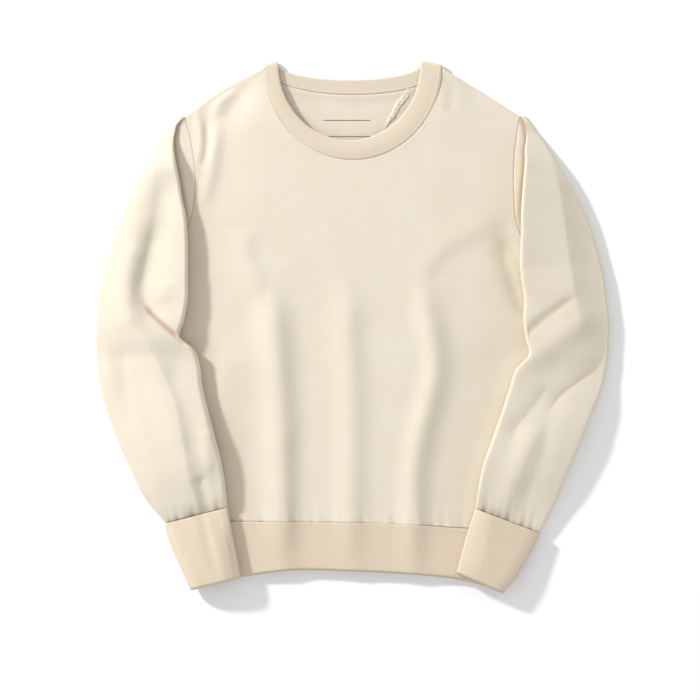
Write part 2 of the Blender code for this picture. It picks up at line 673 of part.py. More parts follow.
def trimmed(rows, gap):
    """The same rows with the first moved towards the second by the seam gap."""
    step = rows[1] - rows[0]
    rows = rows.copy()
    rows[0] += gap * step / np.linalg.norm(step, axis=1)[:, None]
    return rows


def make_hem(material):
    front_x = np.linspace(-1, 1, HEM_STEPS + 1)
    back_x = np.linspace(1, -1, HEM_STEPS // 2 + 1)
    turn = (HEM_TOP_EDGE - HEM_RIB) / 2
    outer, inner = [], []
    for share in np.linspace(0, 1, HEM_ROWS + 1):
        ends = []
        for side, x in HEM_CORNER.items():
            y = (1 - share) * np.interp(x, HEM_LINES["x"], HEM_LINES["seam"])
            y += share * np.interp(x, HEM_LINES["x"], HEM_LINES["bottom"])
            half_width = np.interp(y, HEM_HALF_WIDTH["y"], HEM_HALF_WIDTH[side])
            ends.append(np.sign(x) * (half_width - turn - HEM_RIB / 2))
        middle, reach = (ends[1] + ends[0]) / 2, (ends[1] - ends[0]) / 2

        def y_at(x):
            seam = np.interp(x, HEM_LINES["x"], HEM_LINES["seam"]) - SEAM_GAP
            return (1 - share) * seam + share * np.interp(x, HEM_LINES["x"], HEM_LINES["bottom"])

        x = middle + reach * front_x
        top = np.stack([x, hem_top(x, y_at(x)) - HEM_RIB / 2], axis=1)
        top[[0, -1], 1] = HEM_TOP_EDGE - HEM_RIB / 2
        x = middle + reach * back_x
        low = np.stack([x, np.full(len(x), HEM_RIB / 2)], axis=1)
        right = turn_points((ends[0], HEM_TOP_EDGE / 2), turn, [225, 180, 135])
        left = turn_points((ends[1], HEM_TOP_EDGE / 2), turn, [45, 0, -45])
        points = np.concatenate([top, left, low, right])
        faces = section_sides(points, np.zeros(2), np.array([1.0, 0.0]), HEM_RIB, True)
        for grid, face in zip((outer, inner), faces):
            face[:, 1] = y_at(face[:, 0])
            grid.append(face)
    build_wall("hem_band", np.array(outer), np.array(inner), material, ring=True)


def make_material(name, colour, roughness):
    material = bpy.data.materials.new(name)
    material.use_nodes = True
    shader = material.node_tree.nodes["Principled BSDF"]
    shader.inputs["Base Color"].default_value = (*colour, 1)
    shader.inputs["Roughness"].default_value = roughness
    shader.inputs["Metallic"].default_value = 0
    material.diffuse_color = (*colour, 1)
    return material


def clear_scene():
    for old in list(bpy.data.objects):
        bpy.data.objects.remove(old, do_unlink=True)


SLEEVES = {
    "right": dict(sign=-1, stations=RIGHT_SLEEVE, cuff=RIGHT_CUFF, folds=RIGHT_SLEEVE_FOLDS),
    "left": dict(sign=1, stations=LEFT_SLEEVE, cuff=LEFT_CUFF, folds=LEFT_SLEEVE_FOLDS),
}


def main():
    clear_scene()
    fleece = make_material("cream_fleece", (0.86, 0.78, 0.65), 0.95)
    rib = make_material("beige_rib", (0.76, 0.66, 0.51), 0.95)
    make_back(fleece)
    make_front(fleece)
    make_neckband(rib)
    make_hem(rib)
    for side in SLEEVES:
        make_sleeve(side, fleece)
        make_cuff(side, rib)


main()
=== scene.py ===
"""Looks of the crew-neck sweatshirt, laid flat: fleece panels, ribbed bands, seams and light.

Every piece is a surface worked out on a grid. Tables and functions are in millimetres, in the
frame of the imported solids, and become metres where a mesh is made. "right" and "left" are the
wearer's: right is at -X. Heights are above the surface that the garment lies on.
"""
import math

import bpy
import numpy as np
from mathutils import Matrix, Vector


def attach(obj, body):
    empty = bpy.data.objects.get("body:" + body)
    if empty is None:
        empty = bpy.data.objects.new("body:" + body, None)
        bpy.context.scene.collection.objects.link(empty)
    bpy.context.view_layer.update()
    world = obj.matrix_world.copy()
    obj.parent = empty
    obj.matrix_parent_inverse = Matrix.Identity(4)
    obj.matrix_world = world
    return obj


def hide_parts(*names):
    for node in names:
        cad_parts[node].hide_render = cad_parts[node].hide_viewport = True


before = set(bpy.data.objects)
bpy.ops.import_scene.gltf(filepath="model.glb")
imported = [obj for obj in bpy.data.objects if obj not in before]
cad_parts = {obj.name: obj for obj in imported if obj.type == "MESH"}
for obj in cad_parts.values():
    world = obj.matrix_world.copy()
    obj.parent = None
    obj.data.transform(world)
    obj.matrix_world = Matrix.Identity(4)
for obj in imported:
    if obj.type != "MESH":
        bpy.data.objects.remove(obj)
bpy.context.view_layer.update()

MM = 0.001

# Cloth, and the gaps between its layers
FLEECE = 2.0
BAND_RIB = 4.0
HEM_RIB = 3.2
CUFF_RIB = 3.0
SEAM_GAP = 0.2
LAYER_GAP = 0.8

# Body
SHOULDER_SLOPE = 0.59
SHOULDER_BULGE = dict(right=5.0, left=1.0)
NECK_POINT_X = 113.0
NECK_POINT_Y = 328.0
NECK_POINT_TOP = 8.4
NECK_POINT_EASE = 45.0
SEAM_TOP = 2 * FLEECE + SEAM_GAP
SHOULDER_EASE = 70.0        # how far below the shoulder the front has risen to its full height
SHOULDER_FOLD_EASE = 11.0   # how far below the shoulder its folds have
SIDE_POWER = 2.6
SIDE_ROUND = 0.85
SIDE_FOLD_POWER = 12        # the higher, the closer to the sides the folds reach
PANEL_LENGTH = 560.0        # about how long a panel is, for the spacing of its points

# Neckband: half ellipses about (x, y) of its seam edge and its free edge
SEAM_EDGE = dict(x=1.0, y=328.0, wide=112.0, front=117.0, back=34.0)
FREE_EDGE = dict(x=-4.0, y=333.0, wide=90.0, front=97.0, back=20.0)
BAND_RISE = 15.2            # height of its upper face in the middle of the front
BAND_FULL = 0.8             # the lower, the sooner it has risen to that height
BAND_CROWN = 1.6            # how much its middle stands above its two edges
BAND_LEAN = 1.0             # how much lower its free edge is
BAND_SEAM_GAP = 0.2
BAND_TURN_WAY = (0.45, 0.89)
BAND_TURN = 70              # degrees that it turns up and down at its ends
ALLOWANCE = 1.5             # how much the back stands up on the allowance of its neck seam
ALLOWANCE_REACH = 9.0

# Hem band
HEM_CORNER = dict(right=-212.0, left=214.0)
HEM_TOP_MID = 13.2
HEM_TOP_EDGE = 7.6
HEM_FOLD_SHARE = 0.8        # share of the front's folds that it has at its seam
HEM_FOLD_LOSS = 0.6         # share of that which it has lost after the run below
HEM_FOLD_RUN = 60
HEM_REACH = 14.0            # how far above its seam it still holds a sleeve up

# Sleeves and cuffs
TUCK_TURN = 1.5
CUFF_TURN = (2.3, 5.4)      # how wide and how high half of the turn at a cuff's edges is
CUFF_LEVEL = 0.25           # share of its puff that a cuff's upper layer has between its folds
CUFF_RUN = 14.0             # how far in from its edges a cuff's upper layer is still rising
CUFF_FOLD_RUN = 9           # how far in its folds have risen to their full height
CUFF_SEAM_GAP = 0.3
SLEEVE_SLOPE = 0.5
CUFF_SLOPE = 0.25
SLOPE_START = 3.0
ARCH_POWER = 1.6
STEP_RUN = 1.0
UNDERARM_SPREAD = 2.4       # how wide the cloth beside the underarm seam is at the seam's end
OPEN_SPREAD = 16.0          # how wide it is below that
FOLD_OPENS = {1: 90, 2: 135}        # degrees that the fold edge has turned at the first stations
MOST_TILT = 74.0            # degrees that the upper layer rises at where it leaves its edges
TALL_FROM = 0.4             # share of the full radii from which the fold edge's turn grows tall

# Folds
FOLD_EASE = 0.24            # share of a fold's length that it takes to rise
DIP_WIDE = 3.6              # how many times as wide the dip beside a ridge is
FOLDS_FROM = 25             # how far from its shoulder a sleeve's folds begin
FOLDS_PAST = 20             # how far past its cuff they would end
FOLDS_RUN = 40              # how far they take to rise
CREASE_EDGE = 0.04          # share of the upper layer's width that a crease takes to begin
GATHER_EDGE = 0.08          # the same for the gathers

# The roll of a face into its seam and the bead beside it, each as (height, place, reach)
SEAM_ROLL = (0.45, 0.0, 0.8)
SEAM_BEAD = (0.12, 2.5, 1.2)
FAR = 99.0                  # any distance past the roll
UNDER_ROLL = 0.3            # how much of the roll a panel's lower face has
SLEEVE_ROLL = 0.5           # how much of it a sleeve's two faces have
ROLL_COLUMNS = 20           # columns of a sleeve that may lie within the roll

# Painted shade, warm like light that goes from cloth to cloth, in creases, tucks and beside sleeves
SHADED_REACH = 26.0         # how far from a sleeve's fold edge shade is painted on the front
SHADED_FROM = 4             # station where it begins
CREASE_PAINTED_SHADE = 0.22          # painted shade for each millimetre of a crease's depth
TUCK_REACH = 9.0            # how far inside the fold edge shade is painted in the tuck
TUCK_END = (0.2, 0.14)      # share of the sleeve's length where the tuck's painted shade fades, over which share
TUCK_TOP = (3, 5)           # height above the tuck where its painted shade fades, and over which height

# Gathers beside a seam: sums of waves, each as (length, height, start)
CUFF_GATHERS = ((17.0, 0.5, 0.1), (10.3, 0.4, 0.6), (29.0, 0.6, 0.3))
HEM_GATHERS = ((21.0, 0.35, 0.2), (12.7, 0.3, 0.7), (43.0, 0.5, 0.4))
GATHER_REACH = 11.0

# Grids
PANEL_STEP = 3.0            # spacing of a panel's points
EDGE_STEPS = (0.5, 1.1, 1.8, 2.6, 3.5, 5.0)     # distances of the first points in from a seam
UNDER_POINTS = 34
TOP_POINTS = 84
TURN_POINTS = 9
FLOOR_POINTS = 12
SLEEVE_ROWS = 280
BAND_ROWS = 10
BAND_LINES = 5              # lines of the neckband's middle
HEM_BAND_LINES = 9          # lines of the hem band's middle
HEM_POINTS = 200            # points of each across the front, and across the back
RIB_COLUMNS = 6             # points round for each rib
NECK_POINTS = 120           # points of a line round the neck
BAND_FRONT_POINTS = 160     # the same for the front half of the neckband
SHOULDER_POINTS = 40
SIDE_POINTS = 60
ARMHOLE_POINTS = 90
FOLD_POINTS = 6             # points of a fold's smooth line for each that is listed

# Ribs
RIB_PITCH = 2.7
RIB_DEPTH = 0.11
RIB_FULL = 0.62             # height of the sine that a rib is cut from, and half of its swing
RIB_START = 1.2             # how far from a band's seam its ribs take to rise
BAND_THIN = 0.75            # share of its thickness that a band has at its seam
BAND_THICK_RUN = 1.5        # how far from there it has all of it
BAND_BEAD = (0.25, 2.2, 1.0)        # the roll beside its seam: height, place and reach
LOWER_REACH = 2.2           # how much further a band's lower layer reaches than its upper one

# Stitching, and the two rules inside the back neck
STITCH_LENGTH = 2.6
STITCH_GAP = 0.9
STITCH_THICK = 0.36         # half of it
STITCH_RINGS = 5
STITCH_SIDES = 6
STITCH_RISE = 1.1           # height of its middle over its ends, in half thicknesses
STITCH_SINK = 0.5           # how far its ends lie below the path, in half thicknesses
STITCH_END = 0.35           # share of its thickness that it has at its ends
HEM_LINE_POINTS = 300       # points of the lines that the stitches follow
BACK_LINE_POINTS = 200
HEM_STITCH_ENDS = (-203, 205)
HEM_STITCH_ROWS = (3.4, 6.4)        # how far above the hem seam
BACK_STITCHES = 6.0         # how far below the neck seam
BACK_STITCH_ENDS = (14, 166)        # degrees round the neck
RULES_X = -7.0
RULES_Y = (261.6, 241.0)
RULE_HALF = 30.0

# The strip of a shoulder seam's allowance that shows inside the neck
STRIP_LINE = ((84, 317), (70, 298), (58, 280), (49, 265), (42, 252))
STRIP_POINTS = (140, 25)            # along it and across it
STRIP_HALF = 2.6                    # half of its width at its lower end
STRIP_WIDER = 3.6                   # how much more that is at its upper end
STRIP_END = 16                      # how far from its lower end it narrows and sinks
STRIP_END_WIDE = 0.25               # shares of its width and height that it ends with
STRIP_END_HIGH = 0.3
STRIP_SWAY = (0.5, 4.1)             # how far it sways, and the sway's length over 2 pi
STRIP_HEIGHT = 1.4
STRIP_GROOVE = (-0.5, 0.25, 0.14)   # height, place and reach, across it
STRIP_RIPPLE = 0.16
STRIP_RIPPLES = ((0.95, 2.2), (1.7, -3))    # length over 2 pi, and slant
STRIP_GAP = 0.2                     # its height over the back's face, where it has none itself
STRIP_SINK = 0.4                    # how far its lower face lies below that

# Camera, floor and light
PICTURE_PX = 700
MM_PER_PX = 1.27
PICTURE_MIDDLE = (352.5, 326.5)     # the pixel that the frame's origin falls on
LENS = 180.0
SENSOR = 36.0
FLOOR_REACH = 12.0          # metres
FLOOR_DROP = 0.0002         # metres below the garment
KEY_WAY = Vector((-0.80, 0.60, 0.50)).normalized()
KEY_DISTANCE = 6.0
KEY_SIZE = 0.62
KEY_POWER = 340.0
KEY_COLOUR = (1.0, 0.99, 0.97)
SKY = 0.78
SKY_COLOUR = (0.985, 0.976, 0.972, 1.0)


def table(columns, rows):
    """A short table with named columns, as a dict of arrays."""
    return dict(zip(columns.split(), np.array(rows, float).T))


FRONT_HEIGHTS = table("y middle", [
    (-250, 11.6),
    (-150, 14.0),
    (0, 15.5),
    (160, 15.5),
    (215, 14.6),
])
SIDE_HEIGHTS = table("y top", [
    (70, SEAM_TOP),
    (125, 8.8),
    (225, 8.4),
    (268, SEAM_TOP),
])
SIDE_SEAMS = table("y right left", [
    (-253, 209, 212),
    (-208, 238, 238),
    (-93, 258, 260),
    (0, 264, 265),
    (70, 266, 267),
])
HEM_LINES = table("x seam bottom", [
    (-212, -247, -324),
    (-142, -247, -316),
    (-80, -247.5, -308),
    (0, -248.5, -309),
    (88, -252, -314),
    (134, -255.5, -319),
    (171, -257, -328),
    (214, -256, -335),
])
HEM_HALF_WIDTH = table("y right left", [(-335, 193, 197), (-250, 208, 211)])

# Sleeve stations from the shoulder point to the cuff: outline, edge that lies on the front,
# armhole, how far the cloth runs back under the fold, height of the upper layer's arch, and the
# share of the full radii that its two edges turn at.
STATIONS = "outer_x outer_y fold_x fold_y seam_x tuck puff edge"
RIGHT_SLEEVE = table(STATIONS, [
    (220, 268, 216, 267, 212, 0, 0, 0.2),
    (229, 256, 223, 255, 209, 0, 0, 0.4),
    (236, 248, 225, 247, 207, 0, 1, 0.5),
    (243, 239, 227, 238, 205, 6, 3, 0.6),
    (251, 224, 227, 224, 203, 11, 5, 0.8),
    (258, 210, 225, 211, 201, 14, 8, 1.0),
    (272, 186, 220, 186, 199, 15, 11, 1.0),
    (283, 161, 216, 161, 201, 16, 14, 1.0),
    (290, 143, 212, 142, 204, 19, 15, 1.0),
    (297, 126, 210, 124, 210, 24, 16, 1.0),
    (305, 101, 209, 97, 227, 32, 17, 1.0),
    (310, 86, 209, 82, 241, 44, 17, 1.0),
    (313, 77, 209, 73, 256, 54, 17, 1.0),
    (315, 70, 209, 66, 266, 60, 17, 1.0),
    (316, 66, 209, 62, 0, 0, 17, 1.0),
    (317, 60, 209, 56, 0, 0, 17, 1.0),
    (321, 36, 209, 36, 0, 0, 18, 1.0),
    (323, 11, 214, 8, 0, 0, 16, 1.0),
    (324, -13, 219, -14, 0, 0, 13, 1.0),
    (324, -34, 201, -30, 0, 0, 14, 1.0),
    (323, -53, 194, -49, 0, 0, 17, 1.0),
    (318, -78, 191, -74, 0, 0, 18, 1.0),
    (310, -108, 184, -104, 0, 0, 18, 1.0),
    (297, -144, 175, -139, 0, 0, 17, 1.0),
    (280, -182, 166, -175, 0, 0, 15, 0.9),
    (262, -218, 161, -208, 0, 0, 11, 0.8),
    (236, -249, 159, -229, 0, 0, 8.5, 0.6),
])
LEFT_SLEEVE = table(STATIONS, [
    (220, 268, 216, 267, 213, 0, 0, 0.2),
    (226, 256, 219, 255, 210, 0, 0, 0.4),
    (232, 247, 220, 247, 209, 0, 1, 0.5),
    (239, 238, 221, 238, 208, 6, 3, 0.6),
    (248, 224, 219, 224, 206, 11, 5, 0.8),
    (256, 210, 219, 211, 205, 14, 8, 1.0),
    (270, 186, 217, 186, 204, 15, 11, 1.0),
    (284, 161, 215, 161, 205, 16, 14, 1.0),
    (293, 144, 214, 142, 206, 19, 15, 1.0),
    (300, 127, 214, 124, 210, 24, 16, 1.0),
    (308, 101, 213, 97, 227, 32, 17, 1.0),
    (312, 86, 213, 82, 241, 40, 17, 1.0),
    (314, 77, 213, 73, 256, 50, 17, 1.0),
    (316, 70, 214, 66, 267, 56, 17, 1.0),
    (317, 66, 214, 62, 0, 0, 17, 1.0),
    (318, 60, 215, 56, 0, 0, 17, 1.0),
    (321, 36, 218, 36, 0, 0, 18, 1.0),
    (324, 8, 217, 8, 0, 0, 17, 1.0),
    (324, -15, 220, -16, 0, 0, 15, 1.0),
    (323, -38, 224, -36, 0, 0, 12, 1.0),
    (320, -55, 208, -54, 0, 0, 14, 1.0),
    (315, -76, 201, -74, 0, 0, 16, 1.0),
    (303, -107, 191, -105, 0, 0, 17, 1.0),
    (289, -144, 178, -142, 0, 0, 17, 1.0),
    (273, -182, 166, -177, 0, 0, 15, 0.9),
    (257, -220, 160, -208, 0, 0, 11, 0.8),
    (236, -261, 157, -231, 0, 0, 8.5, 0.6),
])
CUFF_STATIONS = "outer_x outer_y fold_x fold_y puff"
RIGHT_CUFF = table(CUFF_STATIONS, [
    (236, -249, 159, -229, 6.5),
    (234, -262, 156, -247, 7.0),
    (228, -278, 152, -269, 7.5),
    (217, -303, 147, -293, 8.0),
    (204, -332, 143, -317, 8.0),
])
LEFT_CUFF = table(CUFF_STATIONS, [
    (236, -261, 157, -231, 6.5),
    (229, -276, 151, -248, 7.0),
    (219, -295, 145, -267, 7.5),
    (206, -316, 139, -289, 8.0),
    (191, -336, 133, -311, 8.0),
])

# How far in from its two edges a sleeve's upper layer is still rising, how wide and how high
# half of its turn is by its outline, and how high half of its turn is by the fold edge.
RUNS = "y fold outer wide tall high"
RIGHT_RUNS = table(RUNS, [
    (-231, 3, 20, 2.5, 4.5, 6.5),
    (-190, 3, 30, 2.5, 4.5, 7.0),
    (-118, 5, 40, 2.5, 4.5, 8.0),
    (20, 2.5, 45, 2.5, 5.5, 8.0),
    (130, 2.5, 40, 2.5, 5.5, 7.0),
    (190, 2.5, 30, 2.5, 4.5, 5.0),
    (268, 2.5, 12, 2.5, 4.0, 4.0),
])
LEFT_RUNS = table(RUNS, [
    (-231, 6, 3, 2.5, 7.0, 8.5),
    (-180, 6, 4, 2.0, 8.5, 10.5),
    (-100, 6, 4, 2.0, 8.5, 10.5),
    (-20, 6, 24, 2.5, 5.0, 10.0),
    (100, 6, 30, 2.5, 3.5, 10.0),
    (180, 6, 30, 2.5, 3.5, 8.5),
    (215, 6, 30, 2.5, 3.5, 6.0),
    (268, 6, 24, 2.5, 3.5, 4.0),
])


def fold(height, before, after, along, start=0.0, end=0.0, dip=0.0, power=2.0):
    """A ridge (height above 0) or trough (below 0) along a line of points that is listed
    downwards. It is as wide as before says to the side of -X and as after says to that of +X.
    start and end are the shares of its height that it has at its two ends. dip is the share that
    the cloth goes on down beyond the ridge's foot, on the side of +X. The lower its power, the
    sharper its crest and the straighter its sides."""
    return dict(
        height=height, wide=(before, after), along=along, start=start, end=end, dip=dip, power=power
    )


FRONT_FOLDS = [
    fold(1.8, 18, 12, [(-135, 128), (-134, 87), (-123, 59), (-107, 44)], dip=0.4),
    fold(7.0, 22, 20, [
        (-118, 66), (-105, 31), (-99, -11), (-95, -68), (-91, -131), (-88, -250),
    ], start=0.1, end=1, dip=0.5),
    fold(3.8, 18, 18, [
        (-20, 72), (-8, 34), (-6, -11), (-3, -55), (-2, -119), (-2, -250),
    ], start=0.1, end=1, dip=0.5),
    fold(-1.4, 13, 15, [(-74, -130), (-72, -250)], end=1),
    fold(1.5, 22, 13, [(187, 133), (143, 117), (109, 95), (92, 69), (88, 44)], start=0.4, dip=0.5),
    fold(5.2, 15, 18, [
        (86, 74), (92, 23), (101, -17), (104, -55), (96, -96), (86, -134), (79, -172), (76, -250),
    ], start=0.1, end=1, dip=0.5),
    fold(-8.0, 16, 14, [(194, 122), (200, 90), (211, 59), (222, 30), (230, 2)], start=0.4),
    fold(-7.0, 62, 40, [(222, 6), (206, -50), (190, -100), (174, -160), (164, -250)],
         start=0.2, end=0.8),
    fold(5.6, 7, 7, [(-197, 268), (-194, 246), (-195, 222), (-200, 200)], start=0.4),
    fold(-3.6, 6, 5, [(-188, 270), (-184, 248), (-185, 224), (-192, 196)], start=0.5),
    fold(2.6, 8, 10, [(-176, 270), (-174, 250), (-176, 224), (-183, 186), (-194, 145)],
         start=0.1, dip=0.6),
    fold(2.4, 13, 32, [(-156, -10), (-160, -60), (-163, -105), (-158, -180)]),
    fold(2.8, 6, 10, [(-146, 304), (-160, 293), (-171, 280), (-173, 262)], start=0.3),
    fold(-1.8, 11, 16, [(-128, 312), (-146, 286), (-160, 258)], start=0.3),
    fold(-1.0, 7, 8, [(119, 321), (126, 294), (121, 265)], start=0.5),
]
RIGHT_SLEEVE_FOLDS = [
    fold(8.5, 62, 44, [
        (-238, 250), (-249, 224), (-252, 173), (-260, 119), (-272, 74), (-281, 40), (-281, 10),
    ], start=0.3, end=0.7, power=1.3),
    fold(3.0, 20, 18, [(-262, 110), (-275, 74), (-283, 44), (-277, 18)], start=0.2, end=0.7),
    fold(-8.6, 19, 27, [
        (-234, 205), (-244, 145), (-254, 100), (-260, 72), (-260, 48), (-248, 26),
    ], end=0.4),
    fold(-4.4, 12, 15, [
        (-246, 140), (-253, 106), (-263, 76), (-268, 48), (-262, 27), (-250, 14), (-240, 4),
    ]),
    fold(1.2, 22, 8, [(-250, 46), (-238, 28), (-227, 12), (-213, -4)], start=0.2, end=0.6),
    fold(14.0, 90, 28, [
        (-280, 8), (-258, -24), (-236, -66), (-225, -93), (-215, -140), (-206, -190), (-196, -226),
    ], start=0.5, end=0.6, power=1.25),
    fold(-2.6, 12, 14, [(-236, -40), (-226, -72), (-212, -112), (-204, -145), (-198, -180)]),
    fold(2.2, 9, 8, [(-187, -125), (-182, -157), (-180, -189)], start=0.3, end=0.3),
    fold(-3.6, 9, 8, [(-196, -187), (-189, -208), (-184, -231)], start=0.1, end=0.9),
    fold(-7.5, 20, 60, [(-198, -52), (-226, -44), (-257, -42), (-289, -44), (-314, -48)],
         start=0.9, end=0.2),
]
RIGHT_CREASES = [
    fold(-4.0, 3.0, 3.6, [(-264, 28), (-252, 14), (-239, 2), (-226, -9), (-213, -20)],
         start=0.15, end=1.0),
]
LEFT_SLEEVE_FOLDS = [
    fold(10.5, 75, 28, [(247, 224), (260, 178), (268, 126), (274, 81), (282, 36), (288, 8)],
         start=0.5, end=0.7, power=1.25),
    fold(5.0, 60, 50, [(288, -50), (268, -110), (242, -165), (218, -220)], start=0.4, end=0.4,
         power=1.6),
    fold(3.6, 18, 16, [(288, 6), (260, -15), (231, -38), (206, -57)], start=0.7, end=0.6),
    fold(-5.0, 17, 48, [(321, -30), (309, -54), (285, -71), (264, -87), (245, -112)],
         start=0.6, end=0.3, power=1.25),
    fold(-3.4, 12, 30, [(250, -68), (236, -92), (220, -112), (206, -130), (200, -150)],
         start=0.2, end=0.2, power=1.3),
    fold(3.2, 16, 12, [(236, -116), (218, -159), (204, -195), (191, -232)], start=0.2, end=0.6),
    fold(-1.0, 8, 12, [(250, -112), (242, -159), (229, -195), (214, -236)], start=0.3, end=0.6),
]
LEFT_CREASES = [
    fold(-1.7, 6.5, 5.0, [(284, 40), (258, 22), (239, 8), (221, -8)], start=0.2, end=0.9),
    fold(-0.5, 3.5, 3.5, [(309, -54), (285, -71), (264, -87), (248, -108)], start=0.2),
]
CUFF_FOLDS = {
    "right": [
        fold(7.6, 50, 17, [(-185, -236), (-177, -262), (-171, -285), (-165, -312)],
             start=0.7, end=0.7, power=1.4),
        fold(-2.6, 8, 9, [(-190, -236), (-184, -262), (-178, -285), (-172, -305)],
             start=1, end=0.3),
        fold(-3.8, 14, 10, [(-180, -228), (-173, -242), (-169, -256)], start=1),
    ],
    "left": [
        fold(3.4, 16, 34, [(175, -236), (171, -262), (163, -300)], start=1, end=0.8, power=1.4),
    ],
}
# level is the share of the puff that a sleeve's upper layer has between its folds, turn how wide
# half of the turn by its fold edge is, shaded how strongly shade is painted on the front beside
# that edge.
SLEEVES = {
    "right": dict(
        sign=-1, stations=RIGHT_SLEEVE, cuff=RIGHT_CUFF, runs=RIGHT_RUNS, folds=RIGHT_SLEEVE_FOLDS,
        creases=RIGHT_CREASES, level=0.25, turn=1.6, shaded=0.34,
    ),
    "left": dict(
        sign=1, stations=LEFT_SLEEVE, cuff=LEFT_CUFF, runs=LEFT_RUNS, folds=LEFT_SLEEVE_FOLDS,
        creases=LEFT_CREASES, level=0.02, turn=1.0, shaded=0.12,
    ),
}


# ---- curves and fields -------------------------------------------------------------------------

def smooth(t):
    """A smooth step from 0 to 1: three times the square of t less twice its cube."""
    t = np.clip(t, 0.0, 1.0)
    return t * t * (3 - 2 * t)


def through(places, values, at):
    """A smooth curve through values (first axis) that stand at places, read at other places:
    a cubic between each two, with the slopes that their neighbours give."""
    values = np.asarray(values, float)
    slopes = np.gradient(values, places, axis=0)
    first = np.clip(np.searchsorted(places, at, side="right") - 1, 0, len(places) - 2)
    span = places[first + 1] - places[first]
    s = (at - places[first]) / span
    wide = s.shape + (1,) * (values.ndim - 1)
    s, span = s.reshape(wide), span.reshape(wide)
    low, high = values[first], values[first + 1]
    return (
        (2 * s**3 - 3 * s**2 + 1) * low + (3 * s**2 - 2 * s**3) * high
        + (s**3 - 2 * s**2 + s) * span * slopes[first]
        + (s**3 - s**2) * span * slopes[first + 1]
    )


def lengths_along(points):
    """Length of a line of points from its start to each of them."""
    steps = np.linalg.norm(np.diff(points, axis=0), axis=1)
    return np.concatenate([[0], np.cumsum(steps)])


def rounded(points, count):
    """A smooth line of count points through a few."""
    places = lengths_along(points)
    return through(places, points, np.linspace(0, places[-1], count))


def shares_from_edges(count, length, ends=2):
    """Shares from 0 to 1, even in the middle and closer beside the edges that are seams: both,
    or only the first. count is how many there are in all."""
    near = np.array(EDGE_STEPS) / length
    if ends == 1:
        return np.concatenate([[0], near, np.linspace(near[-1], 1, count - len(near))[1:]])
    middle = np.linspace(near[-1], 1 - near[-1], count - 2 * len(near))[1:-1]
    return np.concatenate([[0], near, middle, 1 - near[::-1], [1]])


def at_shares(points, shares):
    """The points that stand at the given shares of a line's length."""
    places = lengths_along(points)
    at = shares * places[-1]
    return np.stack([np.interp(at, places, column) for column in points.T], axis=1)


def with_height(flat, height):
    """Points in space from points in plan and their heights."""
    return np.concatenate([flat, np.broadcast_to(height, flat.shape[:-1])[..., None]], axis=-1)


def mound(distance, height, place, reach):
    """A bell about a distance: height times e to the power of less the square of how many
    reaches away it is."""
    return height * np.exp(-(((distance - place) / reach) ** 2))


def read(rows, place, column, at):
    """A column of a table read smoothly at any place, held level past its ends."""
    places = rows[place]
    return through(places, rows[column], np.clip(at, places[0], places[-1]).ravel()).reshape(
        np.shape(at)
    )


def distance_to_line(x, y, line):
    """Distance to a line of points; how far along it the nearest place is, from 0 to 1; and the
    side, from -1 on the right of someone who walks along it to 1 on the left."""
    steps = np.diff(line, axis=0)
    lengths = np.linalg.norm(steps, axis=1)
    starts = np.concatenate([[0], np.cumsum(lengths)])
    nearest = np.full(np.shape(x), np.inf)
    place = np.zeros(np.shape(x))
    side = np.zeros(np.shape(x))
    for (ax, ay), (dx, dy), length, start in zip(line[:-1], steps, lengths, starts):
        share = np.clip(((x - ax) * dx + (y - ay) * dy) / length**2, 0, 1)
        off_x, off_y = x - ax - share * dx, y - ay - share * dy
        gap = np.hypot(off_x, off_y)
        nearer = gap < nearest
        turned = (dx * off_y - dy * off_x) / length / np.maximum(gap, 1e-6)
        place = np.where(nearer, (start + share * length) / starts[-1], place)
        side = np.where(nearer, turned, side)
        nearest = np.minimum(gap, nearest)
    return nearest, place, side


def relief(x, y, folds):
    """Sum of the folds' heights, each a bell across its smooth line that eases in at its ends."""
    total = np.zeros(np.shape(x))
    for form in folds:
        line = rounded(np.array(form["along"], float), FOLD_POINTS * len(form["along"]))
        gap, place, side = distance_to_line(x, y, line)
        before, after = form["wide"]
        wide = before + (after - before) * smooth((side + 1) / 2)
        rises = form["start"] + (1 - form["start"]) * smooth(place / FOLD_EASE)
        falls = form["end"] + (1 - form["end"]) * smooth((1 - place) / FOLD_EASE)
        bell = np.exp(-((gap / wide) ** form["power"]))
        beyond = form["dip"] * smooth(side) * (bell - np.exp(-((gap / wide / DIP_WIDE) ** 2)))
        total += form["height"] * rises * falls * (bell + beyond)
    return total


def wander(place, *waves):
    """A slow uneven wave along a line: a sum of sines, each given as (length, size, start)."""
    return sum(size * np.sin(2 * np.pi * (place / length + start)) for length, size, start in waves)


# ---- the body's form ---------------------------------------------------------------------------

def hem_line(share, x):
    """The hem band's seam edge (share 0), its free edge (share 1), or a line between them."""
    seam = read(HEM_LINES, "x", "seam", x) - SEAM_GAP
    return (1 - share) * seam + share * read(HEM_LINES, "x", "bottom", x)


def hem_seam_at(x):
    """The hem seam's y, with straight lines between the table's places."""
    return np.interp(x, HEM_LINES["x"], HEM_LINES["seam"])


def hem_half_width(y, side):
    return np.interp(y, HEM_HALF_WIDTH["y"], HEM_HALF_WIDTH[side])


def armhole(side):
    """Points of the armhole seam at the stations, from the shoulder point to the underarm."""
    rows = SLEEVES[side]["stations"]
    sewn = rows["seam_x"] > 0
    share = (rows["seam_x"] - rows["fold_x"]) / (rows["outer_x"] - rows["fold_x"])
    y = rows["fold_y"] + share * (rows["outer_y"] - rows["fold_y"])
    return np.stack([SLEEVES[side]["sign"] * rows["seam_x"][sewn], y[sewn]], axis=1)


def side_line(side):
    """Points of the side seam, from the underarm to the hem."""
    y = np.linspace(armhole(side)[-1, 1], hem_seam_at(HEM_CORNER[side]), SIDE_POINTS)
    x = SLEEVES[side]["sign"] * np.interp(y, SIDE_SEAMS["y"], SIDE_SEAMS[side])
    return np.stack([x, y], axis=1)


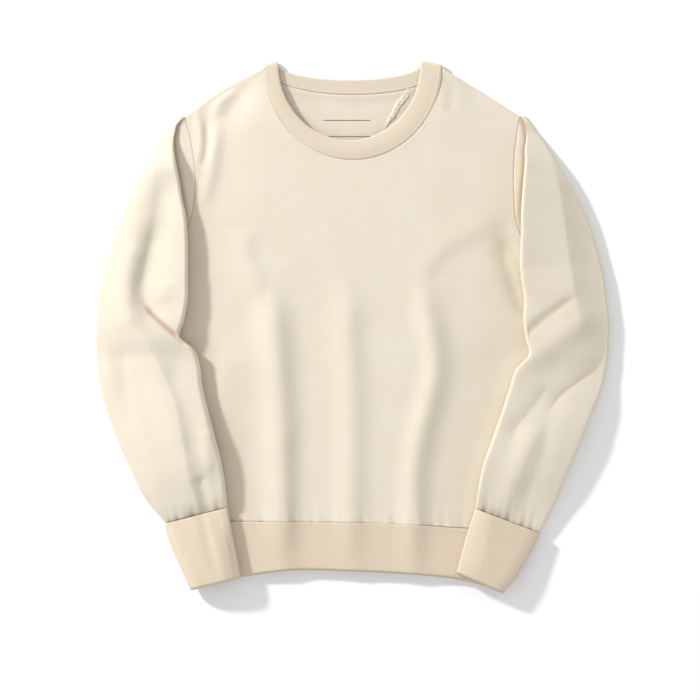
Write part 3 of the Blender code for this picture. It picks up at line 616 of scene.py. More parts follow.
def panel_side(side):
    """The armhole, made smooth, and the side seam below it, as one line of points."""
    return np.concatenate([rounded(armhole(side), ARMHOLE_POINTS), side_line(side)[1:]])


EDGES = {side: panel_side(side)[::-1] for side in SLEEVES}


def edge_x(y, side):
    """Distance from the middle to the front's edge."""
    return np.interp(y, EDGES[side][:, 1], np.abs(EDGES[side][:, 0]))


def front_top(x, y):
    """Height of the front's upper face: level in the middle, rounding down to its sides by a
    power law and to its shoulders by a smooth step, plus its folds."""
    edge = np.where(x > 0, edge_x(y, "left"), edge_x(y, "right"))
    across = np.clip(np.abs(x) / edge, 0, 1)
    middle = read(FRONT_HEIGHTS, "y", "middle", y)
    side = read(SIDE_HEIGHTS, "y", "top", y)
    body = side + (middle - side) * (1 - across**SIDE_POWER) ** SIDE_ROUND
    outwards = np.maximum(np.abs(x) - NECK_POINT_X, 0)
    below = NECK_POINT_Y - outwards * SHOULDER_SLOPE - y
    risen = smooth(below / SHOULDER_EASE)
    shoulder = SEAM_TOP + (NECK_POINT_TOP - SEAM_TOP) * smooth(1 - outwards / NECK_POINT_EASE)
    eased = (1 - across**SIDE_FOLD_POWER) * smooth(below / SHOULDER_FOLD_EASE)
    folds = relief(x, y, FRONT_FOLDS) * eased
    return np.maximum(shoulder + (body - shoulder) * risen + folds, SEAM_TOP)


def hem_top(x, y):
    """Height of the hem band's upper face, with what is left of the front's folds."""
    edge = np.where(x > 0, hem_half_width(y, "left"), hem_half_width(y, "right"))
    across = np.clip(np.abs(x) / edge, 0, 1)
    rise = (HEM_TOP_MID - HEM_TOP_EDGE) * (1 - across**SIDE_POWER) ** SIDE_ROUND
    seam_y = hem_seam_at(x)
    folds = relief(x, np.maximum(y, seam_y), FRONT_FOLDS) * (1 - across**SIDE_FOLD_POWER)
    lost = HEM_FOLD_LOSS * smooth((seam_y - y) / HEM_FOLD_RUN)
    return HEM_TOP_EDGE + rise + HEM_FOLD_SHARE * folds * (1 - lost)


def lying_height(x, y, side, slope):
    """Height of the underside of a sleeve's or cuff's lower layer: a gap over the body, and past
    the body's edge down at a slope as far as the surface below."""
    sign = SLEEVES[side]["sign"]
    hem_y = hem_seam_at(HEM_CORNER[side])
    edge = edge_x(np.maximum(y, hem_y), side)
    over = front_top(sign * np.minimum(np.abs(x), edge), np.maximum(y, hem_y))
    hem_edge = hem_half_width(y, side)
    near_hem = y < hem_y + HEM_REACH
    hem = hem_top(sign * np.minimum(np.abs(x), hem_edge), np.minimum(y, hem_y))
    over = np.where(near_hem, np.maximum(over, hem), over)
    edge = np.where(near_hem, np.maximum(hem_edge, np.where(y < hem_y, 0, edge)), edge)
    past = np.maximum(np.abs(x) - edge - SLOPE_START, 0)
    return np.maximum(over + LAYER_GAP - slope * past, 0)


# ---- sections of the sleeves and cuffs ---------------------------------------------------------

def section_line(side, row):
    """Where a section runs: its fold edge in plan, the direction outwards, and its width."""
    sign = SLEEVES[side]["sign"]
    fold_edge, outer = (np.array([sign * row[e + "_x"], row[e + "_y"]]) for e in ("fold", "outer"))
    width = np.linalg.norm(outer - fold_edge)
    return fold_edge, (outer - fold_edge) / width, width


def turn_points(centre, radius, first, last):
    """Points of a turn in a section, about centre, each as (outwards, up). radius is one number,
    or two: how wide half of it is and how high, with an upright stretch in its middle."""
    wide, tall = np.broadcast_to(radius, 2)
    angle = np.radians(np.linspace(first, last, TURN_POINTS))
    sine = np.sin(angle)
    up = wide * sine + (tall - wide) * np.clip(3 * sine, -1, 1)
    return np.array(centre) + np.stack([wide * np.cos(angle), up], axis=1)


def layer_points(start, end, count, height):
    """A layer in a section: points from start to end, at the height that a function gives."""
    a = np.linspace(start, end, count)
    return np.stack([a, height(a)], axis=1)


def arch(start, end, puff, runs, count):
    """The upper layer between its two edges: a straight line, raised to a level that it reaches
    a run away from each edge, by 1 - (1 - distance / run) ** power."""
    share = np.linspace(0, 1, count + 2)[1:-1]
    a = start[0] + share * (end[0] - start[0])
    rise = puff * np.ones(count)
    for distance, run in zip((a - start[0], end[0] - a), runs):
        rise = rise * (1 - np.clip(1 - distance / run, 0, 1) ** ARCH_POWER)
    return np.stack([a, start[1] + share * (end[1] - start[1]) + rise], axis=1)


def tilt(puff, run):
    """Degrees short of its top that a turn ends, where the arch begins."""
    return min(MOST_TILT, math.degrees(math.atan(ARCH_POWER * puff / run)))


def step_points(seam, seam_z, fold_turn, angle):
    """The cloth from the armhole seam up to the upper layer where its fold has only begun: out
    under it, a turn up through the angle, a short run, and a turn back outwards."""
    lean = np.radians(angle)
    out = fold_turn * (1 - np.sin(lean)) - TUCK_TURN * np.sin(lean) - STEP_RUN * np.cos(lean)
    strip = layer_points(seam, out, 8, lambda a: np.full(len(a), seam_z))[:-1]
    turn = lean * np.linspace(0, 1, 6)
    up = np.stack([out + TUCK_TURN * np.sin(turn), seam_z + TUCK_TURN * (1 - np.cos(turn))], axis=1)
    heading = np.array([np.cos(lean), np.sin(lean)])
    turn = lean * np.linspace(1, 0, 7)
    back = np.stack([np.sin(lean) - np.sin(turn), np.cos(turn) - np.cos(lean)], axis=1)
    return np.concatenate([strip, up, up[-1] + STEP_RUN * heading + fold_turn * back])


def folded_points(seam, seam_z, tuck, fold_turn, lying):
    """The cloth from the armhole seam out under the upper layer, round a turn and back in."""
    back = tuck - TUCK_TURN
    low = float(lying(np.array(back)))
    angle = np.radians(np.linspace(-90, 90, 7))[1:-1]
    middle, reach = (seam_z + low) / 2, (low - seam_z) / 2
    turn = np.stack([back + TUCK_TURN * np.cos(angle), middle + reach * np.sin(angle)], axis=1)
    return np.concatenate([
        layer_points(seam, back, 10, lambda a: np.full(len(a), seam_z)),
        turn,
        layer_points(back, fold_turn, 14, lying)[:-1],
    ])


def closed_points(seam, fold_turn, lying, row):
    """The cloth from the underarm seam in to the fold edge. At the seam's upper end it still
    stands up in a quarter turn."""
    inwards = seam - row["spread"]
    beside = layer_points(seam, inwards, 6, lying)[:-1]
    if row["stands"]:
        turn = np.radians(np.linspace(0, 90, 6)[:-1])
        beside[:, 0] = seam + FLEECE / 2 - TUCK_TURN * (1 - np.cos(turn))
        beside[:, 1] -= TUCK_TURN * (1 - np.sin(turn))
    return np.concatenate([beside, layer_points(inwards, fold_turn, 16, lying)[:-1]])


def sleeve_section(side, row):
    """The middle of a sleeve's wall at one station, as (outwards from the fold edge, up): from
    the front armhole seam under the fold and back, over the top, round the outer edge, and along
    the surface below to the back armhole seam. Below the underarm both ends lie at its seam."""
    sleeve = SLEEVES[side]
    edge, outwards, width = section_line(side, row)
    half = FLEECE / 2
    sewn = row["seam_x"] > 0
    fold_turn = sleeve["turn"] * row["edge"]

    def at(a):
        return edge[0] + a * outwards[0], edge[1] + a * outwards[1]

    def lying(a):
        return lying_height(*at(a), side, 0.0 if sewn else SLEEVE_SLOPE) + half

    def resting(a):
        return half + (0 * a if row["on_floor"] else lying_height(*at(a), side, SLEEVE_SLOPE))

    reach = width / abs(row["outer_x"] - row["fold_x"])
    seam_x = row["seam_x"] if sewn else edge_x(at(width / 2)[1], side)
    seam = (seam_x - row["fold_x"]) * reach + SEAM_GAP
    seam_z = float(front_top(*armhole(side)[row["index"]])) - half if sewn else 0.0
    low = float(lying(np.array(fold_turn)))
    puff = sleeve["level"] * row["puff"]
    rises = sleeve["runs"]

    def at_station(y, *columns):
        return [np.interp(y, rises["y"], rises[column]) for column in columns]

    *runs, high = at_station(row["fold_y"], "fold", "outer", "high")
    outer_radii = np.array(at_station(row["outer_y"], "wide", "tall")) * row["edge"]
    tall = fold_turn + (high - fold_turn) * smooth((row["edge"] - TALL_FROM) / (1 - TALL_FROM))
    fold_radii = np.array([fold_turn, tall])
    fold_tilt, outer_tilt = (tilt(puff, run) if row["angle"] == 180 else 0 for run in runs)
    inner_edge = turn_points((fold_turn, low + tall), fold_radii, 270, 90 + fold_tilt)
    if not sewn:
        under = np.concatenate([closed_points(seam, fold_turn, lying, row), inner_edge])
    elif row["angle"] < 180:
        under = step_points(seam, seam_z, fold_turn, row["angle"])
    else:
        folded = folded_points(seam, seam_z, row["tuck"], fold_turn, lying)
        under = np.concatenate([folded, inner_edge])
    outer_turn = outer_radii[0]
    outer_edge = turn_points(
        (width - outer_turn, half + outer_radii[1]), outer_radii, 90 - outer_tilt, -90
    )
    top = arch(under[-1], outer_edge[0], puff, runs, TOP_POINTS)
    end = seam if sewn else seam + SEAM_GAP
    below = layer_points(width - outer_turn, end, FLOOR_POINTS + 1, resting)[1:]
    under = at_shares(under, shares_from_edges(UNDER_POINTS, lengths_along(under)[-1], 1))
    return np.concatenate([under, top, outer_edge, below]), edge, outwards


def shoulder_section(side, row):
    """The sleeve's first section, close round the end of the shoulder seam."""
    base = armhole(side)[row["index"]]
    outwards = np.array([SLEEVES[side]["sign"], 0.0])
    half = FLEECE / 2
    start_z = float(front_top(*base)) - half
    turn = (start_z - half) / 2
    end = row["outer_x"] - row["seam_x"] - half - turn
    over = UNDER_POINTS + TOP_POINTS + 1
    top = layer_points(SEAM_GAP, end, over, lambda a: np.full(len(a), start_z))
    edge = turn_points((end, half + turn), turn, 90, -90)
    below = layer_points(end, SEAM_GAP, FLOOR_POINTS + 1, lambda a: np.full(len(a), half))
    return np.concatenate([top[:-1], edge, below[1:]]), base, outwards


def cuff_section(side, row):
    """The middle of a cuff's wall at one station: a flattened ring, from its inner edge over the
    top, round the outer edge and back below, where it lies on the hem band."""
    edge, outwards, width = section_line(side, row)
    half = CUFF_RIB / 2

    def at(a):
        return edge[0] + a * outwards[0], edge[1] + a * outwards[1]

    def lying(a):
        return lying_height(*at(a), side, CUFF_SLOPE) + half

    wide, tall = CUFF_TURN
    inner_low = float(lying(np.array(wide)))
    outer_low = float(lying(np.array(width - wide)))
    puff = CUFF_LEVEL * row["puff"]
    lean = tilt(puff, CUFF_RUN)
    inner_edge = turn_points((wide, inner_low + tall), CUFF_TURN, 270, 90 + lean)
    outer_edge = turn_points((width - wide, outer_low + tall), CUFF_TURN, 90 - lean, -90)
    top = arch(inner_edge[-1], outer_edge[0], puff, (CUFF_RUN, CUFF_RUN), TOP_POINTS)
    inside = smooth(np.minimum(top[:, 0], width - top[:, 0]) / CUFF_FOLD_RUN)
    top[:, 1] += inside * relief(*at(top[:, 0]), CUFF_FOLDS[side])
    below = layer_points(width - wide, wide, FLOOR_POINTS, lying)[1:-1]
    return np.concatenate([inner_edge, top, outer_edge, below]), edge, outwards


def placed(points, edge, outwards):
    """A section's points in space, and then how far out from the fold edge each is."""
    flat = edge + points[:, :1] * outwards
    return np.concatenate([flat, points[:, 1:], points[:, :1]], axis=1)


def station(rows, index):
    """One station of a table, and how the sleeve is sewn and lies there."""
    row = {name: values[index] for name, values in rows.items()}
    row["index"] = index
    first_closed = np.count_nonzero(rows.get("seam_x", 0))
    row["angle"] = FOLD_OPENS.get(index, 180)
    row["stands"] = row["on_floor"] = index <= first_closed
    row["spread"] = UNDERARM_SPREAD if index <= first_closed + 1 else OPEN_SPREAD
    return row


# ---- meshes ------------------------------------------------------------------------------------

def normals(grid, ring=False):
    """Unit normals of a grid of points, from its two directions."""
    if ring:
        around = np.roll(grid, -1, axis=1) - np.roll(grid, 1, axis=1)
    else:
        around = np.gradient(grid, axis=1)
    normal = np.cross(around, np.gradient(grid, axis=0))
    return normal / np.maximum(np.linalg.norm(normal, axis=2), 1e-9)[..., None]


def quads(index):
    """Faces between the neighbours of a grid of point numbers."""
    corners = (index[:-1, :-1], index[:-1, 1:], index[1:, 1:], index[1:, :-1])
    return np.stack(corners, axis=-1).reshape(-1, 4)


def link(name, data):
    """An object with the given data, in the scene."""
    made = bpy.data.objects.new(name, data)
    bpy.context.scene.collection.objects.link(made)
    return made


def make_mesh(name, points, faces, material, fields=None):
    """An object from points in millimetres and four-cornered faces, smooth, facing outwards."""
    mesh = bpy.data.meshes.new(name)
    mesh.vertices.add(len(points))
    mesh.vertices.foreach_set("co", (np.asarray(points) * MM).ravel())
    mesh.loops.add(faces.size)
    mesh.loops.foreach_set("vertex_index", faces.ravel().astype(np.int32))
    mesh.polygons.add(len(faces))
    mesh.polygons.foreach_set("loop_start", np.arange(0, faces.size, 4, dtype=np.int32))
    mesh.update(calc_edges=True)
    if volume(points, faces) < 0:
        mesh.flip_normals()
    for field, values in (fields or {}).items():
        attribute = mesh.attributes.new(field, "FLOAT", "POINT")
        attribute.data.foreach_set("value", np.asarray(values, np.float32).ravel())
    mesh.materials.append(material)
    mesh.shade_smooth()
    return link(name, mesh)


def volume(points, faces):
    """Signed volume inside the faces, positive where they face outwards."""
    a, b, c, d = (np.asarray(points)[faces[:, i]] for i in range(4))
    return (np.cross(b - a, c - a) * a).sum() + (np.cross(c - a, d - a) * a).sum()


def make_wall(name, outer, inner, material, fields=None):
    """A closed wall between an outer and an inner grid. fields hold a value for each point of
    the grid, the same on both faces."""
    rows, columns = outer.shape[:2]
    index = np.arange(rows * columns).reshape(rows, columns)
    inside = index + rows * columns
    faces = [quads(index), quads(inside)[:, ::-1]]
    faces.append(quads(np.stack([inside[0], index[0]])))
    faces.append(quads(np.stack([index[-1], inside[-1]])))
    faces.append(quads(np.stack([index[:, 0], inside[:, 0]])))
    faces.append(quads(np.stack([inside[:, -1], index[:, -1]])))
    points = np.concatenate([outer.reshape(-1, 3), inner.reshape(-1, 3)])
    doubled = {
        field: np.concatenate([values.ravel(), values.ravel()])
        for field, values in (fields or {}).items()
    }
    return make_mesh(name, points, np.concatenate(faces), material, doubled)


def make_loop(name, grid, material, fields):
    """A closed ring with a closed section: both ways round, the grid's last points join its
    first."""
    rows, columns = grid.shape[:2]
    index = np.arange(rows * columns).reshape(rows, columns)
    index = np.concatenate([index, index[:1]], axis=0)
    index = np.concatenate([index, index[:, :1]], axis=1)
    return make_mesh(name, grid.reshape(-1, 3), quads(index), material, fields)


# ---- shader words ------------------------------------------------------------------------------

class Value:
    """A number socket that Python's own signs work on."""

    def __init__(self, finish, socket):
        self.finish = finish
        self.socket = socket

    def math(self, operation, *others):
        return self.finish.node("ShaderNodeMath", dict(operation=operation), self, *others)

    def __add__(self, other):
        return self.math("ADD", other)

    def __sub__(self, other):
        return self.math("SUBTRACT", other)

    def __rsub__(self, other):
        return self.finish.node("ShaderNodeMath", dict(operation="SUBTRACT"), other, self)

    def __mul__(self, other):
        return self.math("MULTIPLY", other)

    def sine(self):
        return self.math("SINE")

    def size(self):
        return self.math("ABSOLUTE")

    def within(self, low, high):
        """0 below low, 1 above high, and a smooth step between."""
        settings = dict(interpolation_type="SMOOTHSTEP")
        return self.finish.node("ShaderNodeMapRange", settings, self, low, high, 0.0, 1.0)


class Finish:
    """One material and the nodes in it."""

    def __init__(self, name):
        self.material = bpy.data.materials.new(name)
        self.material.use_nodes = True
        self.nodes = self.material.node_tree.nodes
        self.links = self.material.node_tree.links
        self.shader = self.nodes["Principled BSDF"]

    def node(self, kind, settings, *values, out=0, **named):
        """Adds a node: its settings first, then the values or links of its sockets, in order or
        by name. Returns the socket that it gives."""
        made = self.nodes.new(kind)
        for name, value in settings.items():
            setattr(made, name, value)
        for key, value in [*enumerate(values), *named.items()]:
            self.put(made.inputs[key.replace("_", " ") if isinstance(key, str) else key], value)
        return Value(self, made.outputs[out])

    def put(self, socket, value):
        if isinstance(value, Value):
            self.links.new(value.socket, socket)
        else:
            socket.default_value = value

    def place(self):
        return self.node("ShaderNodeTexCoord", {}, out="Object")

    def field(self, name):
        """A value that the mesh holds at each of its points."""
        settings = dict(attribute_name=name)
        return self.node("ShaderNodeAttribute", settings, out="Fac")

    def axes(self, place):
        made = self.nodes.new("ShaderNodeSeparateXYZ")
        self.put(made.inputs[0], place)
        return [Value(self, output) for output in made.outputs]

    def noise(self, scale, detail, rough, place=None):
        return self.node(
            "ShaderNodeTexNoise", {}, Vector=place or self.place(),
            Scale=scale, Detail=detail, Roughness=rough,
        )

    def mix(self, share, low, high):
        """A colour between two, by a share from 0 to 1."""
        made = self.nodes.new("ShaderNodeMix")
        made.data_type = "RGBA"
        self.put(made.inputs["Factor"], share)
        self.put(made.inputs[6], low)
        self.put(made.inputs[7], high)
        return Value(self, made.outputs[2])

    def bump(self, height, depth):
        """The normal of a height from 0 to 1 that stands for depth metres."""
        return self.node("ShaderNodeBump", {}, Strength=1.0, Distance=depth, Height=height)

    def cloth(self, base, height, rough, depth, sheen):
        """A cloth's surface: its colour, its grain as a height, and one of the looks below."""
        return self.surface(
            Base_Color=base, Roughness=rough, Normal=self.bump(height, depth),
            Sheen_Weight=sheen[0], Sheen_Roughness=sheen[1], Specular_IOR_Level=0.2,
        )

    def surface(self, **values):
        for name, value in values.items():
            self.put(self.shader.inputs[name.replace("_", " ")], value)
        return self.material


def colour(red, green, blue):
    return (red, green, blue, 1.0)


# ---- finishes ----------------------------------------------------------------------------------

CREAM = colour(0.720, 0.664, 0.554)
CREAM_DEEP = colour(0.690, 0.624, 0.508)
RIB = colour(0.670, 0.576, 0.450)
NECK_RIB = colour(0.668, 0.588, 0.464)
# painted shade between the ribs of the hem band and the cuffs
RIB_PAINTED_SHADE = colour(0.620, 0.525, 0.395)
FOLD_PAINTED_SHADE = colour(0.430, 0.290, 0.190)     # painted shade in folds, warm like light that has gone from cloth to cloth
THREAD = colour(0.830, 0.765, 0.640)
INK = colour(0.115, 0.100, 0.080)
TABLE_TOP = colour(0.925, 0.935, 0.95)
TABLE_GRAIN = colour(0.90, 0.91, 0.93)

# Noises, each as (scale, detail, roughness)
CLOUD, NAP, TUFT = (22.0, 3.0, 0.55), (900.0, 3.0, 0.6), (260.0, 2.0, 0.5)
BACK_CLOUD, BACK_NAP = (24.0, 3.0, 0.55), (800.0, 3.0, 0.6)
RIB_CLOUD, RIB_FUZZ = (30.0, 3.0, 0.5), (1100.0, 3.0, 0.6)
TWIST, GRAIN = (2500.0, 1.0, 0.5), (40.0, 2.0, 0.5)

# Surfaces: roughness, depth of the grain in metres, and the sheen's weight and spread
FLEECE_LOOK = dict(rough=0.95, depth=0.00035, sheen=(0.18, 0.45))
BACK_LOOK = dict(rough=0.95, depth=0.0004, sheen=(0.1, 0.5))
RIB_LOOK = dict(rough=0.92, depth=0.0003, sheen=(0.12, 0.5))

WALE_PITCH = 0.0013                 # metres
KNIT_PITCH = 1.5                    # millimetres, as the fields that a mesh holds are
RULE_EDGE = (0.00045, 0.00085)      # metres from its middle where a rule's ink begins to end
RULE_END = 0.0006                   # metres in which it ends lengthways
UPPER_FACE = (0.001, 0.0015)        # heights between which the back's upper face begins


def fleece_finish(name):
    """Brushed fleece: a fine jersey grain under a short nap, with faint cloudy tone, and warm shade
    painted in where the mesh's deep field says.
    """
    f = Finish(name)
    place = f.place()
    x = f.axes(place)[0]
    cloud, nap, tuft = (f.noise(*kind, place) for kind in (CLOUD, NAP, TUFT))
    wale = (x * (2 * math.pi / WALE_PITCH)).sine() * 0.5 + 0.5
    tone = (cloud - 0.5) * 0.9 + (tuft - 0.5) * 0.35 + 0.5
    cloth = f.mix(tone.within(0.1, 0.9), CREAM_DEEP, CREAM)
    height = nap * 0.55 + tuft * 0.35 + wale * 0.10
    # painted shade: the deep field mixes the warm fold shade into the cloth's colour
    with_painted_shade = f.mix(f.field("deep") * 0.8, cloth, FOLD_PAINTED_SHADE)
    return f.cloth(with_painted_shade, height, **FLEECE_LOOK)


def rib_finish(name, light, painted_valley_shade):
    """Rib knit: shade painted darker between its ribs, with small stitches up each rib."""
    f = Finish(name)
    place = f.place()
    rib = f.field("rib")
    run = f.field("run")
    cloud, fuzz = (f.noise(*kind, place) for kind in (RIB_CLOUD, RIB_FUZZ))
    stitch = (run * (2 * math.pi / KNIT_PITCH)).sine() * 0.5 + 0.5
    depth = rib * 0.46 + stitch * rib * 0.08 + (cloud - 0.5) * 0.5 + 0.28
    height = fuzz * 0.45 + stitch * rib * 0.55
    # painted shade: the colour darkens towards the valleys between the ribs
    knit = f.mix(depth.within(0.0, 0.8), painted_valley_shade, light)
    return f.cloth(knit, height, **RIB_LOOK)


def back_finish(name):
    """The back's cloth, with two plain printed rules inside the neck."""
    f = Finish(name)
    place = f.place()
    x, y, z = f.axes(place)
    cloud, nap = (f.noise(*kind, place) for kind in (BACK_CLOUD, BACK_NAP))
    half = RULE_HALF * MM
    across = 1 - (x - RULES_X * MM).size().within(half - RULE_END, half)
    upper, lower = (1 - (y - rule_y * MM).size().within(*RULE_EDGE) for rule_y in RULES_Y)
    ink = (upper + lower) * across * z.within(*UPPER_FACE)
    cloth = f.mix(((cloud - 0.5) * 0.9 + 0.5).within(0.1, 0.9), CREAM_DEEP, CREAM)
    return f.cloth(f.mix(ink * 0.85, cloth, INK), nap, **BACK_LOOK)


def thread_finish(name):
    """Sewing thread: a fine twist between its own colour and the cloth's."""
    f = Finish(name)
    twist = f.noise(*TWIST)
    return f.surface(
        Base_Color=f.mix(twist, THREAD, CREAM),
        Roughness=0.8,
        Normal=f.bump(twist, 0.0001),
    )


def table_finish(name):
    """A matt white surface with a faint grain."""
    f = Finish(name)
    grain = f.noise(*GRAIN)
    return f.surface(
        Base_Color=f.mix(grain * 0.05, TABLE_TOP, TABLE_GRAIN),
        Roughness=0.9,
    )


# ---- panels ------------------------------------------------------------------------------------

def neck_curve(edge, degrees, half):
    """Points of the neckband's seam edge or free edge, on its front or its back half."""
    angle = np.radians(degrees)
    depth = edge[half]
    return np.stack([
        edge["x"] - edge["wide"] * np.cos(angle), edge["y"] - depth * np.sin(angle)
    ], axis=1)


def shoulder_line(start, end, bulge):
    """Points of a shoulder seam, which rounds up a little between its ends."""
    share = np.linspace(0, 1, SHOULDER_POINTS)[:, None]
    line = start + share * (end - start)
    line[:, 1] += bulge * np.sin(np.pi * share[:, 0])
    return line


def patch(neck_half):
    """Points of a panel between its four edges. Columns run straight from the top edge to the
    bottom one, and those over the shoulders lean out with the armholes and the side seams."""
    neck = neck_curve(SEAM_EDGE, np.linspace(0, 180, NECK_POINTS), neck_half)
    holes = {side: panel_side(side) for side in SLEEVES}
    before = shoulder_line(holes["right"][0], neck[0], SHOULDER_BULGE["right"])
    after = shoulder_line(neck[-1], holes["left"][0], SHOULDER_BULGE["left"])
    line = np.concatenate([before[:-1], neck, after[1:]])
    length = lengths_along(line)[-1]
    across = shares_from_edges(int(length / PANEL_STEP), length)
    top = at_shares(line, across)
    down = shares_from_edges(int(PANEL_LENGTH / PANEL_STEP), PANEL_LENGTH)
    right, left = (at_shares(holes[side], down) for side in ("right", "left"))
    x = np.interp(top[:, 0], top[[0, -1], 0], [right[-1, 0], left[-1, 0]])
    bottom = np.stack([x, hem_seam_at(x)], axis=1)
    v = down[:, None, None]
    grid = (1 - v) * top[None] + v * bottom[None]
    for edge, column in ((right, 0), (left, -1)):
        lean = edge[:, None] - grid[:, column, None]
        outwards = top[:, 0] * np.sign(top[column, 0]) - NECK_POINT_X
        weight = np.clip(outwards / outwards[column], 0, 1)
        grid = grid + weight[None, :, None] * lean
    return grid


def edge_distance(grid):
    """Distance along the grid's own lines from each point to the panel's nearest edge."""
    found = np.full(grid.shape[:2], np.inf)
    for axis in (0, 1):
        steps = np.linalg.norm(np.diff(grid, axis=axis), axis=2)
        start = np.zeros([1 if i == axis else n for i, n in enumerate(steps.shape)])
        ahead = np.concatenate([start, np.cumsum(steps, axis=axis)], axis=axis)
        whole = ahead.max(axis=axis, keepdims=True)
        found = np.minimum(found, np.minimum(ahead, whole - ahead))
    return found


def rolled_edge(distance):
    """How far a face dips where the cloth turns down into a seam: a bell at the seam, less a
    lower one for the bead beside it."""
    return mound(distance, *SEAM_ROLL) - mound(distance, *SEAM_BEAD)


def make_front(material):
    """The front: its upper face as front_top says, less the roll into its seams, with gathers
    that fade by a power of e above the hem seam, and its lower face a thickness below."""
    flat = patch("front")
    x, y = flat[..., 0], flat[..., 1]
    dip = rolled_edge(edge_distance(flat))
    above_hem = y - read(HEM_LINES, "x", "seam", x)
    top = front_top(x, y) + wander(x, *HEM_GATHERS) * np.exp(-above_hem / GATHER_REACH)
    outer = with_height(flat, top - dip)
    inner = with_height(flat, top - FLEECE + dip * UNDER_ROLL)
    # deep: shade painted on the front beside each sleeve's fold edge, where the sleeve shades it
    deep = 0
    for sleeve in SLEEVES.values():
        rows = sleeve["stations"]
        edge = np.stack([sleeve["sign"] * rows["fold_x"], rows["fold_y"]], axis=1)
        gap = distance_to_line(x, y, edge[SHADED_FROM:])[0]
        deep = deep + mound(gap, sleeve["shaded"], 0.0, SHADED_REACH)
    return make_wall("front", outer, inner, material, dict(deep=deep))


def make_back(material):
    """The back, flat, but for its neck edge, which lies on its seam's allowance."""
    flat = patch("back")
    dip = rolled_edge(edge_distance(flat))
    neck = neck_curve(SEAM_EDGE, np.linspace(0, 180, NECK_POINTS // 2), "back")
    gap = distance_to_line(flat[..., 0], flat[..., 1], neck)[0]
    outer = with_height(flat, FLEECE - dip + mound(gap, ALLOWANCE, 0.0, ALLOWANCE_REACH))
    return make_wall("back", outer, with_height(flat, 0.0), material)


def edge_lift(grid, raised):
    """How much a sleeve's points rise with its folds: the upper layer by the folds themselves,
    and each of its two edges by the folds' height beside it, the less the lower down it is."""
    first, last = UNDER_POINTS, UNDER_POINTS + TOP_POINTS
    height = grid[..., 2]
    lift = np.zeros(height.shape)
    lift[:, first:last] = raised[:, first:last]
    fold_edge, outer_edge = slice(first - TURN_POINTS - 1, first), slice(last, last + TURN_POINTS)
    for edge, beside in ((fold_edge, first), (outer_edge, last - 1)):
        low = height[:, edge].min(axis=1, keepdims=True)
        span = np.maximum(height[:, beside, None] - low, 1e-6)
        share = smooth((height[:, edge] - low) / span)
        lift[:, edge] = raised[:, beside, None] * share
    return lift


def painted_tuck_shade(grid, out, along):
    """How much shade is painted in the tuck under a sleeve's fold edge: full from the edge inwards,
    and fading down the sleeve, and above the tuck, by smooth steps."""
    under = np.arange(grid.shape[1]) < UNDER_POINTS
    down = smooth((along - TUCK_END[0]) / TUCK_END[1])[:, None]
    low = grid[:, :UNDER_POINTS, 2].min(axis=1, keepdims=True)
    up = smooth((grid[..., 2] - low - TUCK_TOP[0]) / TUCK_TOP[1])
    return smooth((out + TUCK_REACH) / TUCK_REACH) * under * (1 - down) * (1 - up)


def seam_distance(grid, from_cuff):
    """Distance from each of a sleeve's points to its armhole seam or its cuff, if near."""
    beside = grid[:, :ROLL_COLUMNS]
    found = np.full(grid.shape[:2], FAR)
    found[:, 0] = 0
    found[:, 1:ROLL_COLUMNS] = np.linalg.norm(np.diff(beside, axis=1), axis=2).cumsum(axis=1)
    return np.minimum(found, from_cuff[:, None])


def make_sleeve(side, material):
    """A sleeve: its sections at the stations, and smooth curves along it through their points.
    The folds, creases and gathers are added to the upper layer, and the two faces stand half of
    the thickness to each side."""
    sleeve = SLEEVES[side]
    rows = sleeve["stations"]
    sections = []
    for index in range(len(rows["puff"])):
        section = sleeve_section if index else shoulder_section
        sections.append(placed(*section(side, station(rows, index))))
    ends = (rows["outer_x"] + rows["fold_x"], rows["outer_y"] + rows["fold_y"])
    places = lengths_along(np.stack(ends, axis=1) / 2)
    length = places[-1]
    at = length * shares_from_edges(SLEEVE_ROWS, length)
    grid = through(places, np.array(sections), at)
    grid, out = grid[..., :3], grid[..., 3]
    x, y = grid[..., 0], grid[..., 1]
    share = np.zeros(grid.shape[1])
    share[UNDER_POINTS:UNDER_POINTS + TOP_POINTS] = np.linspace(0, 1, TOP_POINTS + 2)[1:-1]
    inside = np.minimum(share, 1 - share)
    creased = relief(x, y, sleeve["creases"]) * smooth(inside / CREASE_EDGE)
    eased = smooth(np.minimum(at - FOLDS_FROM, length - at + FOLDS_PAST) / FOLDS_RUN)
    lift = edge_lift(grid, relief(x, y, sleeve["folds"])) * eased[:, None]
    fading = np.exp((at - length) / GATHER_REACH)[:, None]
    gathers = smooth(inside / GATHER_EDGE) * wander(out, *CUFF_GATHERS) * fading
    grid[..., 2] += lift + creased + gathers
    # deep: shade painted in the creases and in the tuck under the fold edge
    deep = np.clip(CREASE_PAINTED_SHADE * np.abs(creased) + painted_tuck_shade(grid, out, at / length), 0, 1)
    normal = normals(grid) * sleeve["sign"]
    dip = SLEEVE_ROLL * rolled_edge(seam_distance(grid, length - at))
    half = (FLEECE / 2 - dip)[..., None]
    faces = [grid + offset * half * normal for offset in (1, -1)]
    for face in faces:
        face[..., 2] = np.maximum(face[..., 2], 0)
    return make_wall("sleeve_" + side + "_cloth", *faces, material, dict(deep=deep))


# ---- ribbed bands ------------------------------------------------------------------------------

